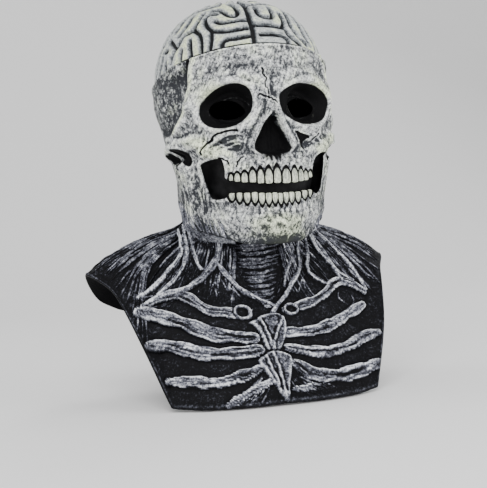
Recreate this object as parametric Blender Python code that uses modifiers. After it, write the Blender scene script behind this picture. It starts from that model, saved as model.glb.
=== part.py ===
"""Full-head skull mask with a brain dome and an anatomical chest bib.

The mask is modelled as it keeps its form when worn: head upright, bib lying
over the shoulders.  Millimetres are used in the tables and metres in the
meshes.  +Z is up, the face looks along -Y and the origin is the inside of the
crown, where the mask sits on a head.
"""
import math
from collections import namedtuple

import bmesh
import bpy
import numpy as np

MM = 0.001

# Driving dimensions, in millimetres.
WALL = 2.4                # latex wall
CROWN_TOP = 4.0           # outside of the brain dome above the origin
EQUATOR = -85.0           # level where the head is widest
DOME_ROUNDNESS = 2.2      # 2 is an ellipsoid, more is squarer
RIM_FRONT = -50.0         # cut edge of the skull cap over the forehead
RIM_FALL = 26.0           # how far that edge has fallen over the ears
RIM_STEP = 3.6            # the bone stands proud of the brain by this
BRAIN_WALL = 3.0
BRAIN_TUCK = 5.0          # how far the brain reaches down behind the rim
FISSURE_DEPTH = 4.0       # groove between the halves of the brain
FISSURE_HALF_WIDTH = 5.0
JAW_ROUND = 5.0           # radius of the lower edge of the jaw
NAPE_ROUND = 2.6          # radius of the lower edge behind the ears
COLLAR_LIFT = 5.0         # the floor of the jaw rises by this to the neck
COLLAR_GAP = 0.9          # clearance between that floor and the neck
TOOTH_PITCH = 7.2
TOOTH_THICK = 5.5
TEETH_COUNT = 12
TEETH_HALF_SPAN = 0.5 * TOOTH_PITCH * TEETH_COUNT
BACKING_THICK = 1.4
BACKING_DEPTH = 11.0      # the sheet behind the teeth lies this deep
BACKING_MARGIN = 6.0      # how far it slopes up outside the mouth
BACKING_GAP = 1.0         # clearance to the bone in front of it
BACKING_DIP = 9.0         # it stops short of the nose by this

# Horizontal sections of the head below the equator.
Section = namedtuple("Section", "z half_width centre front back")
HEAD_SECTIONS = (
    Section(-260.0, 58.0, -9.0, -92.0, 70.0),
    Section(-243.0, 61.0, -9.0, -97.0, 70.0),
    Section(-225.0, 65.0, -10.0, -99.0, 71.0),
    Section(-203.0, 70.0, -13.0, -99.0, 73.0),
    Section(-180.0, 75.0, -14.0, -100.0, 78.0),
    Section(-155.0, 82.0, -13.0, -98.0, 85.0),
    Section(-133.0, 87.5, -12.0, -97.0, 91.0),
    Section(-110.0, 90.0, -8.0, -96.0, 95.0),
    Section(-85.0, 90.0, -3.0, -97.0, 97.0),
)

# Lower edge of the skull piece around the head: 0 is the chin, 180 the nape.
EdgePoint = namedtuple("EdgePoint", "angle z")
JAW_LINE = (
    EdgePoint(0.0, -244.0),
    EdgePoint(25.0, -243.0),
    EdgePoint(50.0, -236.0),
    EdgePoint(75.0, -228.0),
    EdgePoint(95.0, -217.0),
    EdgePoint(120.0, -207.0),
    EdgePoint(150.0, -204.0),
    EdgePoint(180.0, -203.0),
)

# Spokes of the bib, right round from the throat to the nape.  Each is a row
# of points from the neck inside the jaw out to the hem.
Spoke = namedtuple("Spoke", "angle neck throat collar chest middle hem")
BIB_SPOKES = (
    Spoke(0.0, (0, -26, -216), (0, -29, -250), (0, -39, -288),
          (0, -57, -316), (0, -71, -352), (0, -99, -398)),
    Spoke(20.0, (18, -24, -216), (19, -27, -250), (24, -36, -288),
          (32, -55, -316), (36, -70, -352), (36, -97, -399)),
    Spoke(40.0, (34, -16, -215), (38, -18, -249), (50, -30, -286),
          (62, -46, -314), (70, -62, -352), (74, -88, -399)),
    Spoke(60.0, (45, -4, -212), (52, -4, -246), (72, -18, -278),
          (92, -32, -308), (104, -48, -350), (108, -70, -397)),
    Spoke(80.0, (50, 8, -209), (60, 8, -240), (85, -4, -264),
          (105, -16, -288), (118, -30, -314), (128, -48, -338)),
    Spoke(100.0, (51, 19, -200), (65, 22, -230), (92, 16, -243),
          (114, 10, -256), (133, 4, -269), (149, 0, -281)),
    Spoke(120.0, (48, 27, -190), (60, 39, -221), (97, 36, -232),
          (120, 36, -241), (144, 38, -253), (165, 40, -267)),
    Spoke(140.0, (36, 38, -186), (50, 58, -224), (82, 74, -240),
          (102, 84, -258), (122, 92, -278), (140, 98, -300)),
    Spoke(160.0, (20, 50, -184), (32, 70, -226), (46, 90, -250),
          (56, 102, -274), (66, 112, -298), (75, 120, -322)),
    Spoke(180.0, (0, 56, -184), (0, 76, -226), (0, 95, -252),
          (0, 107, -277), (0, 117, -302), (0, 125, -328)),
)
BIB_CORNER = 60.0         # spoke where the hem turns a sharp corner

# Middle of the bib: the two bones and the windpipe.
MANUBRIUM = ((0.0, -331.0), (17.0, 19.0), 0.0)
BLADE_TOP = -350.0
BLADE_TIP = -399.0
TRACHEA_TOP = -238.0
TRACHEA_FOOT = -306.0
TRACHEA_PROUD = 3.5

# Features of the face, one side each, as (across, level) from the middle.
SOCKET = ((41.0, -108.5), (25.0, 22.0), -6.0)       # centre, radii, tilt
SOCKET_DEPTH = 15.0
EYE_HOLE = ((37.5, -111.0), (15.0, 7.5), -6.0)
BROW_LINE = ((7, -90), (22, -82), (44, -82), (62, -90), (71, -103))
NOSE_PIT_DEPTH = 12.0
NoseLevel = namedtuple("NoseLevel", "z half_width")
NOSE_PIT = (
    NoseLevel(-158.0, 3.0),
    NoseLevel(-154.0, 15.0),
    NoseLevel(-148.0, 19.0),
    NoseLevel(-133.0, 12.0),
    NoseLevel(-124.0, 7.0),
    NoseLevel(-116.0, 1.0),
)
TempleLevel = namedtuple("TempleLevel", "z ridge_y")
TEMPLE_RIDGE = (
    TempleLevel(-136.0, -26.0),
    TempleLevel(-130.0, -37.0),
    TempleLevel(-108.0, -55.0),
    TempleLevel(-84.0, -60.0),
    TempleLevel(-64.0, -60.0),
)
TEMPLE_DEPTH = 9.0
# Features of the side of the head, as (depth along Y, level).
ARCH_LINE = ((-66, -140), (-50, -143), (-28, -146), (-8, -150))
EAR_HOLE = ((-32.0, -154.0), (15.0, 8.5), 0.0)
RAMUS_LINE = ((-42, -170), (-38, -195), (-30, -222))

# Left half of the open mouth, as (x, z), and the box of the sheet behind it.
MOUTH_HALF = (
    (0, -168), (20, -168), (40, -167), (44, -160), (52, -158), (62, -163),
    (64, -175), (63, -190), (56, -197), (47, -199), (38, -204), (20, -207), (0, -208),
)
BACKING_BOX = ((-69.0, 69.0), (-213.0, -153.0))

# Rows of teeth, in the middle and at their ends.
Row = namedtuple("Row", "name gum_middle gum_end tip_middle tip_end")
TEETH_ROWS = (
    Row("upper_teeth", -168.4, -167.4, -186.0, -181.5),
    Row("lower_teeth", -207.4, -200.4, -194.5, -190.5),
)


def curve(xs, ys, x):
    """Smooth curve without overshoot through the points (xs, ys), read at x."""
    xs = np.asarray(xs, float)
    ys = np.asarray(ys, float)
    span = np.diff(xs)
    slope = np.diff(ys) / span
    tangent = np.zeros_like(ys)
    tangent[0] = slope[0]
    tangent[-1] = slope[-1]
    same_sign = slope[:-1] * slope[1:] > 0.0
    mean = 2.0 * slope[:-1] * slope[1:] / np.where(same_sign, slope[:-1] + slope[1:], 1.0)
    tangent[1:-1] = np.where(same_sign, mean, 0.0)
    x = np.clip(x, xs[0], xs[-1])
    i = np.clip(np.searchsorted(xs, x) - 1, 0, len(xs) - 2)
    t = (x - xs[i]) / span[i]
    rise = ys[i + 1] - ys[i]
    a = tangent[i] * span[i]
    b = tangent[i + 1] * span[i]
    return ys[i] + t * (a + t * (3.0 * rise - 2.0 * a - b + t * (a + b - 2.0 * rise)))


def column(rows, key, name, x):
    """Read one named column of a table as a smooth curve over another."""
    return curve([getattr(row, key) for row in rows], [getattr(row, name) for row in rows], x)


def step(low, high, x):
    """Smooth step from 0 at low to 1 at high."""
    t = np.clip((x - low) / (high - low), 0.0, 1.0)
    return t * t * (3.0 - 2.0 * t)


def ellipse_distance(x, z, centre, radii, tilt=0.0):
    """Distance from a tilted ellipse's centre, 1 on its outline."""
    c = math.cos(math.radians(tilt))
    s = math.sin(math.radians(tilt))
    u = (x - centre[0]) * c + (z - centre[1]) * s
    v = (z - centre[1]) * c - (x - centre[0]) * s
    return np.hypot(u / radii[0], v / radii[1])


def bump(distance, sharpness=0.0):
    """Rounded hill: 1 at the centre and 0 from distance 1 outwards."""
    return 1.0 - step(sharpness, 1.0, distance)


def line_distance(x, z, points):
    """Distance in a plane from (x, z) to a polyline, and the place along it."""
    best = np.full(np.shape(x), 1e9)
    place = np.zeros(np.shape(x))
    for n, (start, end) in enumerate(zip(points, points[1:])):
        dx = end[0] - start[0]
        dz = end[1] - start[1]
        t = np.clip(((x - start[0]) * dx + (z - start[1]) * dz) / (dx * dx + dz * dz), 0.0, 1.0)
        d = np.hypot(x - start[0] - t * dx, z - start[1] - t * dz)
        place = np.where(d < best, (n + t) / (len(points) - 1), place)
        best = np.minimum(best, d)
    return best, place


def dome_factor(z):
    """Share of the head's width left at a level above the equator."""
    rise = np.clip((z - EQUATOR) / (CROWN_TOP - EQUATOR), 0.0, 1.0)
    return (1.0 - rise ** DOME_ROUNDNESS) ** (1.0 / DOME_ROUNDNESS)


def head_base(angle, z):
    """Plain head form: points and level outward directions at (angle, z)."""
    low = np.minimum(z, EQUATOR)
    factor = dome_factor(z)
    half = column(HEAD_SECTIONS, "z", "half_width", low) * factor
    centre = column(HEAD_SECTIONS, "z", "centre", low)
    front = centre - column(HEAD_SECTIONS, "z", "front", low)
    back = column(HEAD_SECTIONS, "z", "back", low) - centre
    ahead = np.cos(angle)
    depth = np.where(ahead > 0.0, front, back) * factor
    x = half * np.sin(angle)
    y = centre - depth * ahead
    nx = np.sin(angle) * depth
    ny = -ahead * half
    size = np.maximum(np.hypot(nx, ny), 1e-6)
    points = np.stack([x, y, z], -1)
    level = np.stack([nx / size, ny / size, np.zeros_like(nx)], -1)
    return points, level


def bib_base(angle, reach):
    """Plain bib form at a spoke angle (0 front, 180 back) and reach 0 to 1."""
    side = np.where(angle < 0.0, -1.0, 1.0)
    turn = np.abs(angle)
    rows = []
    for name in Spoke._fields[1:]:
        axes = []
        for axis in range(3):
            front = [(s.angle, getattr(s, name)[axis]) for s in BIB_SPOKES if s.angle <= BIB_CORNER]
            rest = [(s.angle, getattr(s, name)[axis]) for s in BIB_SPOKES if s.angle >= BIB_CORNER]
            ahead = curve(*zip(*front), np.minimum(turn, BIB_CORNER))
            behind = curve(*zip(*rest), np.maximum(turn, BIB_CORNER))
            axes.append(np.where(turn < BIB_CORNER, ahead, behind))
        rows.append(np.stack(axes, -1))
    place = np.clip(reach, 0.0, 1.0) * (len(rows) - 1)
    first = np.clip(np.floor(place), 0, len(rows) - 2)
    points = np.zeros(np.shape(angle) + (3,))
    for n in range(len(rows) - 1):
        before = rows[max(n - 1, 0)]
        after = rows[min(n + 2, len(rows) - 1)]
        t = np.clip(place - n, 0.0, 1.0)[..., None]
        span = rows[n + 1] - rows[n]
        a = 0.5 * (rows[n + 1] - before) if n else span
        b = 0.5 * (after - rows[n]) if n < len(rows) - 2 else span
        piece = rows[n] + t * (a + t * (3.0 * span - 2.0 * a - b + t * (a + b - 2.0 * span)))
        points = np.where((first == n)[..., None], piece, points)
    points[..., 0] *= side
    return points


def ridge(x, z, points, width, height, taper=0.0):
    """Raised band along a polyline, thinner towards its end by taper."""
    distance, place = line_distance(x, z, points)
    wide = width * (1.0 - taper * place)
    return height * (1.0 - 0.6 * taper * place) * bump(distance / wide, 0.25)


def head_relief(points):
    """Cast relief of the bone over the plain head form, in millimetres."""
    x = np.abs(points[..., 0])
    y = points[..., 1]
    z = points[..., 2]
    face = step(-5.0, -35.0, y)
    side = step(-78.0, -60.0, y) * step(45.0, 10.0, y)
    socket = ellipse_distance(x, z, *SOCKET)
    relief = -SOCKET_DEPTH * (1.0 - step(0.55, 1.0, socket))
    relief += 2.4 * bump(np.abs(socket - 1.12) / 0.22)
    relief += ridge(x, z, BROW_LINE, 12.0, 3.0)
    bridge = step(-92.0, -114.0, z) * step(-132.0, -116.0, z)
    relief += 9.0 * bridge * (1.0 - step(2.0, 17.0, x))
    opening = np.maximum(column(NOSE_PIT, "z", "half_width", z), 0.5)
    inside = step(1.05, 0.7, x / opening) * step(-160.0, -154.0, z) * step(-113.0, -122.0, z)
    relief += -NOSE_PIT_DEPTH * inside
    margin = bump(np.abs(x - opening - 3.0) / 5.0) * step(-158.0, -150.0, z) * step(-112.0, -122.0, z)
    relief += 3.0 * margin
    relief += 4.0 * bump(ellipse_distance(x, z, (60.0, -150.0), (17.0, 12.0), 20.0))
    relief += 3.0 * bump(ellipse_distance(x, z, (50.0, -136.0), (18.0, 9.0)))
    relief -= 5.0 * bump(ellipse_distance(x, z, (38.0, -148.0), (11.0, 7.0), 15.0))
    relief += 3.5 * bump(ellipse_distance(x, z, (0.0, -174.0), (46.0, 24.0)), 0.3)
    relief += 3.0 * bump(ellipse_distance(x, z, (0.0, -226.0), (30.0, 18.0)), 0.2)
    relief += 3.0 * bump(np.abs(z + 222.0 - 0.18 * (y + 100.0)) / 17.0) * step(-20.0, -45.0, y)
    relief *= face
    behind = y - column(TEMPLE_RIDGE, "z", "ridge_y", z)
    pit = step(0.0, 8.0, behind) * step(52.0, 16.0, behind)
    below_rim = RIM_FRONT - RIM_FALL * (1.0 + y / 88.0) - z
    pit *= step(-136.0, -126.0, z) * step(3.0, 18.0, below_rim)
    relief -= TEMPLE_DEPTH * pit * step(20.0, 50.0, x)
    below = step(-136.0, -124.0, z) * step(-60.0, -72.0, z)
    relief += 2.0 * bump(np.abs(behind + 5.0) / 8.0) * below * side
    relief += ridge(y, z, ARCH_LINE, 10.0, 5.0) * side
    ear = ellipse_distance(y, z, *EAR_HOLE)
    relief += (2.5 * bump(np.abs(ear - 1.15) / 0.35) - 4.0 * (1.0 - step(0.6, 1.0, ear))) * side
    relief += ridge(y, z, RAMUS_LINE, 16.0, 4.0) * side
    return relief


def wall_thickness(angle, level):
    """Radial thickness of the bone, more where the relief is steep."""
    turn = 0.02
    rise = 1.5
    ahead, _ = head_base(angle + turn, level)
    behind, _ = head_base(angle - turn, level)
    above, _ = head_base(angle, level + rise)
    below, _ = head_base(angle, level - rise)
    across = (head_relief(ahead) - head_relief(behind)) / np.linalg.norm(ahead - behind, axis=-1)
    down = (head_relief(above) - head_relief(below)) / (2.0 * rise)
    return WALL * np.minimum(np.sqrt(1.0 + across ** 2 + down ** 2), 1.8)


def rim_level(angle):
    """Level of the cut edge of the skull cap, in millimetres."""
    return RIM_FRONT - RIM_FALL * (1.0 - np.cos(angle))


def bib_lines():
    """Ridges of the bib, one side, as (points, width, height, taper)."""
    ribs = (
        ((16, -335), (40, -333), (60, -329), (80, -322), (104, -314), (128, -304)),
        ((16, -351), (45, -351), (76, -349), (101, -342), (121, -336)),
        ((18, -364), (34, -369), (52, -374), (78, -377), (108, -373)),
        ((16, -377), (28, -379), (43, -386), (56, -393)),
    )
    collar = ((20, -312), (32, -307), (44, -309), (60, -303), (78, -292), (96, -291), (114, -301))
    neck = ((44, -238), (43, -252), (43, -267), (58, -281), (78, -288), (98, -290))
    notch = ((43, -266), (33, -281), (22, -295), (10, -306))
    tendons = (
        ((64, -232), (70, -250), (88, -271), (108, -285), (126, -296)),
        ((62, -238), (67, -260), (78, -276), (94, -287)),
        ((66, -226), (88, -233), (122, -247), (150, -262)),
        ((68, -229), (84, -240), (112, -257), (140, -276)),
        ((70, -232), (88, -249), (112, -268), (134, -287)),
    )
    lines = [(rib, 7.5, 4.0, 0.15) for rib in ribs]
    lines.append((collar, 7.0, 4.0, 0.3))
    lines.append((neck, 6.0, 4.0, 0.3))
    lines.append((notch, 4.5, 3.0, 0.2))
    lines += [(tendon, 5.5, 2.6, 0.3) for tendon in tendons]
    return lines


def bib_relief(points):
    """Cast relief of the neck and chest over the plain bib, in millimetres."""
    x = np.abs(points[..., 0])
    y = points[..., 1]
    z = points[..., 2]
    ahead = step(62.0, 30.0, y)
    relief = np.zeros_like(x)
    for points_2d, width, height, taper in bib_lines():
        relief = np.maximum(relief, ridge(x, z, points_2d, width, height, taper))
    relief = np.maximum(relief, 5.0 * bump(ellipse_distance(x, z, *MANUBRIUM), 0.6))
    along = (z - BLADE_TOP) / (BLADE_TIP - BLADE_TOP)
    half = 18.0 * np.clip(1.0 - along, 0.02, 1.0) ** 0.8
    blade = 6.0 * bump(x / np.maximum(half, 2.0), 0.5) * step(-0.05, 0.05, along)
    relief = np.maximum(relief, blade)
    fall = np.clip((z - TRACHEA_FOOT) / (TRACHEA_TOP - TRACHEA_FOOT), 0.0, 1.2)
    tube = bump(x / (6.0 + 20.0 * fall), 0.3) * step(-306.0, -290.0, z) * step(12.0, -5.0, y)
    relief = np.maximum(relief, tube * TRACHEA_PROUD)
    return relief * ahead


def shell_from_grid(name, outer, inner, material, ratio, collection):
    """Close two matching grids, columns right round, into one thin shell."""
    rows, columns = outer.shape[:2]
    mesh = bpy.data.meshes.new(name)
    shape = bmesh.new()
    layers = []
    for grid in (outer, inner):
        layers.append([[shape.verts.new(tuple(p * MM)) for p in row] for row in grid])
    for index in range(columns):
        after = (index + 1) % columns
        for row in range(rows - 1):
            for skin in layers:
                corners = (skin[row][index], skin[row + 1][index])
                shape.faces.new((*corners, skin[row + 1][after], skin[row][after]))
        for row in (0, rows - 1):
            edge = [skin[row][index] for skin in layers]
            shape.faces.new((*edge, layers[1][row][after], layers[0][row][after]))
    bmesh.ops.recalc_face_normals(shape, faces=shape.faces)
    shape.to_mesh(mesh)
    shape.free()
    obj = bpy.data.objects.new(name, mesh)
    obj.data.materials.append(material)
    collection.objects.link(obj)
    if ratio < 1.0:
        thin = obj.modifiers.new("Thin", "DECIMATE")
        thin.ratio = ratio
    return obj


def make_material(name, colour, roughness):
    """Principled material of one plain colour."""
    material = bpy.data.materials.new(name)
    material.use_nodes = True
    shader = material.node_tree.nodes["Principled BSDF"]
    shader.inputs["Base Color"].default_value = (*colour, 1.0)
    shader.inputs["Roughness"].default_value = roughness
    shader.inputs["Metallic"].default_value = 0.0
    return material


def start_scene():
    """Clear the scene and make the collections for parts and cutters."""
    for obj in list(bpy.data.objects):
        bpy.data.objects.remove(obj, do_unlink=True)
    parts = bpy.data.collections.new("SkullMask")
    cutters = bpy.data.collections.new("Cutters")
    for collection in (parts, cutters):
        bpy.context.scene.collection.children.link(collection)
    return parts, cutters


def head_columns(count, crowding):
    """Angles right round the head, closer together over the face."""
    even = np.linspace(-math.pi, math.pi, count, endpoint=False)
    return even - crowding * np.sin(even)


def normals_of(grid):
    """Unit normals of a grid whose columns run right round."""
    across = np.roll(grid, -1, 1) - np.roll(grid, 1, 1)
    down = np.gradient(grid, axis=0)
    normal = np.cross(down, across)
    return normal / np.maximum(np.linalg.norm(normal, axis=-1, keepdims=True), 1e-9)


def bib_grid(angles, rows):
    """Outer and inner points of the bib at spoke angles in degrees."""
    reach = np.linspace(0.0, 1.0, rows)
    turn, place = np.meshgrid(angles, reach)
    base = bib_base(turn, place)
    normal = normals_of(base)
    relief = bib_relief(base) * step(0.06, 0.2, place)
    outer = base + normal * relief[..., None]
    inner = base - normal * WALL
    return outer, inner


def neck_spoke(points):
    """Spoke angle of the neck, in degrees, nearest to points of the head."""
    return np.degrees(np.arctan2(points[..., 0] / 52.0, -(points[..., 1] - 14.0) / 42.0))


def collar_ring(edge, levels):
    """Outside of the neck at the given levels, beside points of the jaw."""
    outer, _ = bib_grid(neck_spoke(edge), 121)
    ring = np.empty((len(edge), 3))
    for n, level in enumerate(levels):
        spoke = outer[:60, n]
        for axis in range(3):
            ring[n, axis] = np.interp(-level, -spoke[:, 2], spoke[:, axis])
    return ring


def skull_grid(columns, rows):
    """Outer and inner points of the bone from the cap's rim to the neck."""
    angles = head_columns(columns, 0.42)
    turned = np.degrees(np.abs(angles))
    low = curve([e.angle for e in JAW_LINE], [e.z for e in JAW_LINE], turned)
    floor = step(112.0, 80.0, turned)
    radius = NAPE_ROUND + (JAW_ROUND - NAPE_ROUND) * floor
    share = np.linspace(0.0, 1.0, rows)
    turn, place = np.meshgrid(angles, share)
    top = rim_level(angles)
    level = top + (low + radius - top) * place
    plain, out = head_base(turn, level)
    relief = head_relief(plain)
    outer = plain + out * relief[..., None]
    inner = outer - out * wall_thickness(turn, level)[..., None]
    away = out[-1]
    edge = outer[-1]
    neck = collar_ring(edge, low + COLLAR_LIFT) + away * COLLAR_GAP
    plain_end = edge - away * (NAPE_ROUND + 0.3)
    plain_end[:, 2] -= radius
    finish = plain_end + (neck - plain_end) * floor[:, None]
    down = np.array([0.0, 0.0, -1.0])
    skins = ([outer], [inner])
    for tilt in (30.0, 60.0, 90.0):
        lean = math.radians(tilt)
        inset = (radius * (1.0 - math.cos(lean)))[:, None]
        drop = (radius * math.sin(lean))[:, None]
        row = edge - away * inset + down * drop
        skins[0].append(row[None])
        skins[1].append((row - (away * math.cos(lean) + down * math.sin(lean)) * WALL)[None])
    corner = skins[0][-1][0]
    for part_way in (0.34, 0.67, 1.0):
        row = corner + (finish - corner) * part_way
        skins[0].append(row[None])
        skins[1].append((row - down * WALL)[None])
    return np.concatenate(skins[0]), np.concatenate(skins[1])


def cut(obj, cutter):
    """Cut one object with another by a Boolean difference."""
    boolean = obj.modifiers.new(cutter.name, "BOOLEAN")
    boolean.operation = "DIFFERENCE"
    boolean.object = cutter
    boolean.solver = "EXACT"


def make_cutter(name, shape, collection):
    """Store a bmesh as a hidden cutter object."""
    mesh = bpy.data.meshes.new(name)
    bmesh.ops.recalc_face_normals(shape, faces=shape.faces)
    shape.to_mesh(mesh)
    shape.free()
    obj = bpy.data.objects.new(name, mesh)
    obj.hide_render = True
    obj.display_type = "WIRE"
    collection.objects.link(obj)
    return obj


def prism_along_y(name, outline, near, far, collection):
    """Cutter with an outline given as (x, z), from y = near to y = far."""
    shape = bmesh.new()
    ends = []
    for y in (near, far):
        ring = [shape.verts.new((x * MM, y * MM, z * MM)) for x, z in outline]
        ends.append(ring)
        shape.faces.new(ring)
    count = len(outline)
    for n in range(count):
        m = (n + 1) % count
        shape.faces.new((ends[0][n], ends[0][m], ends[1][m], ends[1][n]))
    return make_cutter(name, shape, collection)


def eye_outline(side):
    """Almond outline of one eye hole as (x, z)."""
    (cx, cz), (rx, rz), tilt = EYE_HOLE
    points = []
    for n in range(20):
        a = 2.0 * math.pi * n / 20
        u = rx * math.cos(a)
        v = rz * math.sin(a) * (1.0 - 0.25 * abs(math.cos(a)))
        t = math.radians(tilt)
        x = cx + u * math.cos(t) - v * math.sin(t)
        points.append((side * x, cz + u * math.sin(t) + v * math.cos(t)))
    return points


def mouth_outline():
    """Outline of the open mouth, both sides, as (x, z)."""
    left = [(-x, z) for x, z in MOUTH_HALF[-2:0:-1]]
    return list(MOUTH_HALF) + left


def front_angle(x, z):
    """Angle of the point of the plain head form at x on the front."""
    half = column(HEAD_SECTIONS, "z", "half_width", z)
    return np.arcsin(np.clip(x / half, -0.98, 0.98))


def face_point(x, z, depth):
    """Point of the face at (x, z), pushed in by a depth."""
    base, out = head_base(front_angle(x, z), z)
    return base + out * np.expand_dims(head_relief(base) - depth, -1)


def teeth_shell(row, material, collection):
    """One row of teeth as a closed band that follows the jaw."""
    columns = TEETH_COUNT * 3 + 1
    x = np.linspace(-TEETH_HALF_SPAN, TEETH_HALF_SPAN, columns)
    bend = (x / TEETH_HALF_SPAN) ** 2
    gum = row.gum_middle + (row.gum_end - row.gum_middle) * bend
    tip = row.tip_middle + (row.tip_end - row.tip_middle) * bend
    beside = np.abs(((x / TOOTH_PITCH) % 1.0) - 0.5) * 2.0
    share = np.array([0.0, 0.3, 0.85, 1.0])
    away = 1.6 * beside ** 4
    rise = np.sign(tip - gum) * away
    z = gum + (tip - rise - gum) * share[:, None]
    across = np.broadcast_to(x, z.shape)
    valley = 1.8 * beside ** 3
    round_tip = np.array([0.4, 0.0, 0.2, 1.8])[:, None]
    outer = face_point(across, z, 0.9 + valley + round_tip)
    inner = face_point(across, z, TOOTH_THICK)
    mesh = bpy.data.meshes.new(row.name)
    shape = bmesh.new()
    layers = []
    for grid in (outer, inner):
        layers.append([[shape.verts.new(tuple(p * MM)) for p in line] for line in grid])
    rows = len(share)
    for layer in layers:
        for r in range(rows - 1):
            for c in range(columns - 1):
                corners = (layer[r][c], layer[r + 1][c])
                shape.faces.new((*corners, layer[r + 1][c + 1], layer[r][c + 1]))
    border = [(0, c) for c in range(columns)]
    border += [(r, columns - 1) for r in range(1, rows)]
    border += [(rows - 1, c) for c in range(columns - 2, -1, -1)]
    border += [(r, 0) for r in range(rows - 2, 0, -1)]
    for (r, c), (s, d) in zip(border, border[1:] + border[:1]):
        shape.faces.new((layers[0][r][c], layers[0][s][d], layers[1][s][d], layers[1][r][c]))
    bmesh.ops.recalc_face_normals(shape, faces=shape.faces)
    shape.to_mesh(mesh)
    shape.free()
    obj = bpy.data.objects.new(row.name, mesh)
    obj.data.materials.append(material)
    collection.objects.link(obj)
    return obj


def mouth_backing(material, collection):
    """Dark sheet that closes the mouth behind the teeth."""
    outline = np.array(mouth_outline() + mouth_outline()[:1], float)
    columns = 23
    rows = 7
    (left, right), (foot, head) = BACKING_BOX
    x, share = np.meshgrid(np.linspace(left, right, columns), np.linspace(0.0, 1.0, rows))
    top = head - BACKING_DIP * step(52.0, 38.0, np.abs(x))
    z = top + (foot - top) * share
    distance, _ = line_distance(x, z, outline)
    crossings = np.zeros(x.shape, int)
    for (ax, az), (bx, bz) in zip(outline, outline[1:]):
        spans = (az > z) != (bz > z)
        at = ax + (z - az) * (bx - ax) / np.where(bz == az, 1e-9, bz - az)
        crossings += (spans & (x < at)).astype(int)
    inside = crossings % 2 == 1
    distance = np.where(inside, 0.0, distance)
    angle = front_angle(x, z)
    base, out = head_base(angle, z)
    against = head_relief(base) - wall_thickness(angle, z) - BACKING_GAP
    deep = 1.0 - step(0.5, BACKING_MARGIN, distance)
    offset = np.minimum(against, against + (-BACKING_DEPTH - against) * deep)
    front = base + out * offset[..., None]
    sheet = bpy.data.meshes.new("mouth_backing")
    shape = bmesh.new()
    verts = [[shape.verts.new(tuple(p * MM)) for p in line] for line in front]
    for r in range(rows - 1):
        for c in range(columns - 1):
            shape.faces.new((verts[r][c], verts[r + 1][c], verts[r + 1][c + 1], verts[r][c + 1]))
    shape.to_mesh(sheet)
    shape.free()
    obj = bpy.data.objects.new("mouth_backing", sheet)
    obj.data.materials.append(material)
    collection.objects.link(obj)
    wall = obj.modifiers.new("Wall", "SOLIDIFY")
    wall.thickness = BACKING_THICK * MM
    wall.offset = -1.0
    return obj


def brain_dome(material, collection):
    """Exposed brain: a folded dome tucked behind the rim of the cap."""
    equator, _ = head_base(np.array([0.0, math.pi / 2, math.pi]), np.full(3, EQUATOR))
    front = -equator[0, 1] - RIM_STEP
    back = equator[2, 1] - RIM_STEP
    half = equator[1, 0] - RIM_STEP
    height = CROWN_TOP - EQUATOR
    shape = bmesh.new()
    bmesh.ops.create_icosphere(shape, subdivisions=4, radius=1.0)
    for vert in shape.verts:
        across = math.hypot(vert.co.x, vert.co.y)
        top = vert.co.z
        size = (across ** DOME_ROUNDNESS + abs(top) ** DOME_ROUNDNESS) ** (1.0 / DOME_ROUNDNESS)
        x, y, z = (value / size for value in vert.co)
        point = np.array([x * half, y * (front if y < 0 else back), EQUATOR + z * height])
        beside = min(abs(point[0]) / FISSURE_HALF_WIDTH, 1.0)
        groove = FISSURE_DEPTH * (1.0 - beside) ** 2
        point -= groove * np.array([x, y, z])
        vert.co = point * MM
    slope = RIM_FALL / 84.0
    normal = np.array([0.0, slope, 1.0])
    level = (RIM_FRONT - RIM_FALL - BRAIN_TUCK) * MM
    faces = shape.faces[:] + shape.edges[:] + shape.verts[:]
    bmesh.ops.bisect_plane(
        shape, geom=faces, plane_co=(0, 0, level), plane_no=normal, clear_inner=True)
    bmesh.ops.recalc_face_normals(shape, faces=shape.faces)
    mesh = bpy.data.meshes.new("brain")
    shape.to_mesh(mesh)
    shape.free()
    obj = bpy.data.objects.new("brain", mesh)
    obj.data.materials.append(material)
    collection.objects.link(obj)
    wall = obj.modifiers.new("Wall", "SOLIDIFY")
    wall.thickness = BRAIN_WALL * MM
    wall.offset = -1.0
    thin = obj.modifiers.new("Thin", "DECIMATE")
    thin.ratio = 0.55
    return obj


def build():
    """Make every piece of the mask."""
    parts, cutters = start_scene()
    bone = make_material("Bone", (0.55, 0.58, 0.50), 0.7)
    folds = make_material("BrainLatex", (0.45, 0.50, 0.38), 0.65)
    ivory = make_material("Teeth", (0.62, 0.63, 0.55), 0.6)
    black = make_material("BlackLatex", (0.015, 0.015, 0.017), 0.7)
    sinew = make_material("Sinew", (0.07, 0.07, 0.09), 0.65)
    carved, inside = skull_grid(108, 44)
    skull = shell_from_grid("skull", carved, inside, bone, 0.205, parts)
    cut(skull, prism_along_y("MouthCutter", mouth_outline(), -140.0, -38.0, cutters))
    for side, name in ((-1, "EyeCutterRight"), (1, "EyeCutterLeft")):
        cut(skull, prism_along_y(name, eye_outline(side), -120.0, -52.0, cutters))
    brain_dome(folds, parts)
    for row in TEETH_ROWS:
        teeth_shell(row, ivory, parts)
    mouth_backing(black, parts)
    outer, inner = bib_grid(np.degrees(head_columns(132, 0.3)), 44)
    shell_from_grid("bib", outer, inner, sinew, 0.163, parts)


build()
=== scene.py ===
"""Looks of the skull mask: bone face, folded brain, teeth and anatomical bib.

Tables and forms are in millimetres, meshes in metres.  The face looks along
-Y, +Z is up, and x is counted towards the mask's left side.
"""

import logging
import math
from contextlib import contextmanager
from dataclasses import dataclass, field
from enum import Enum
from itertools import product
from typing import Any, Callable, Iterator, Sequence

import bmesh
import bpy
import numpy as np
from mathutils import Matrix, Vector
from mathutils.kdtree import KDTree

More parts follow.
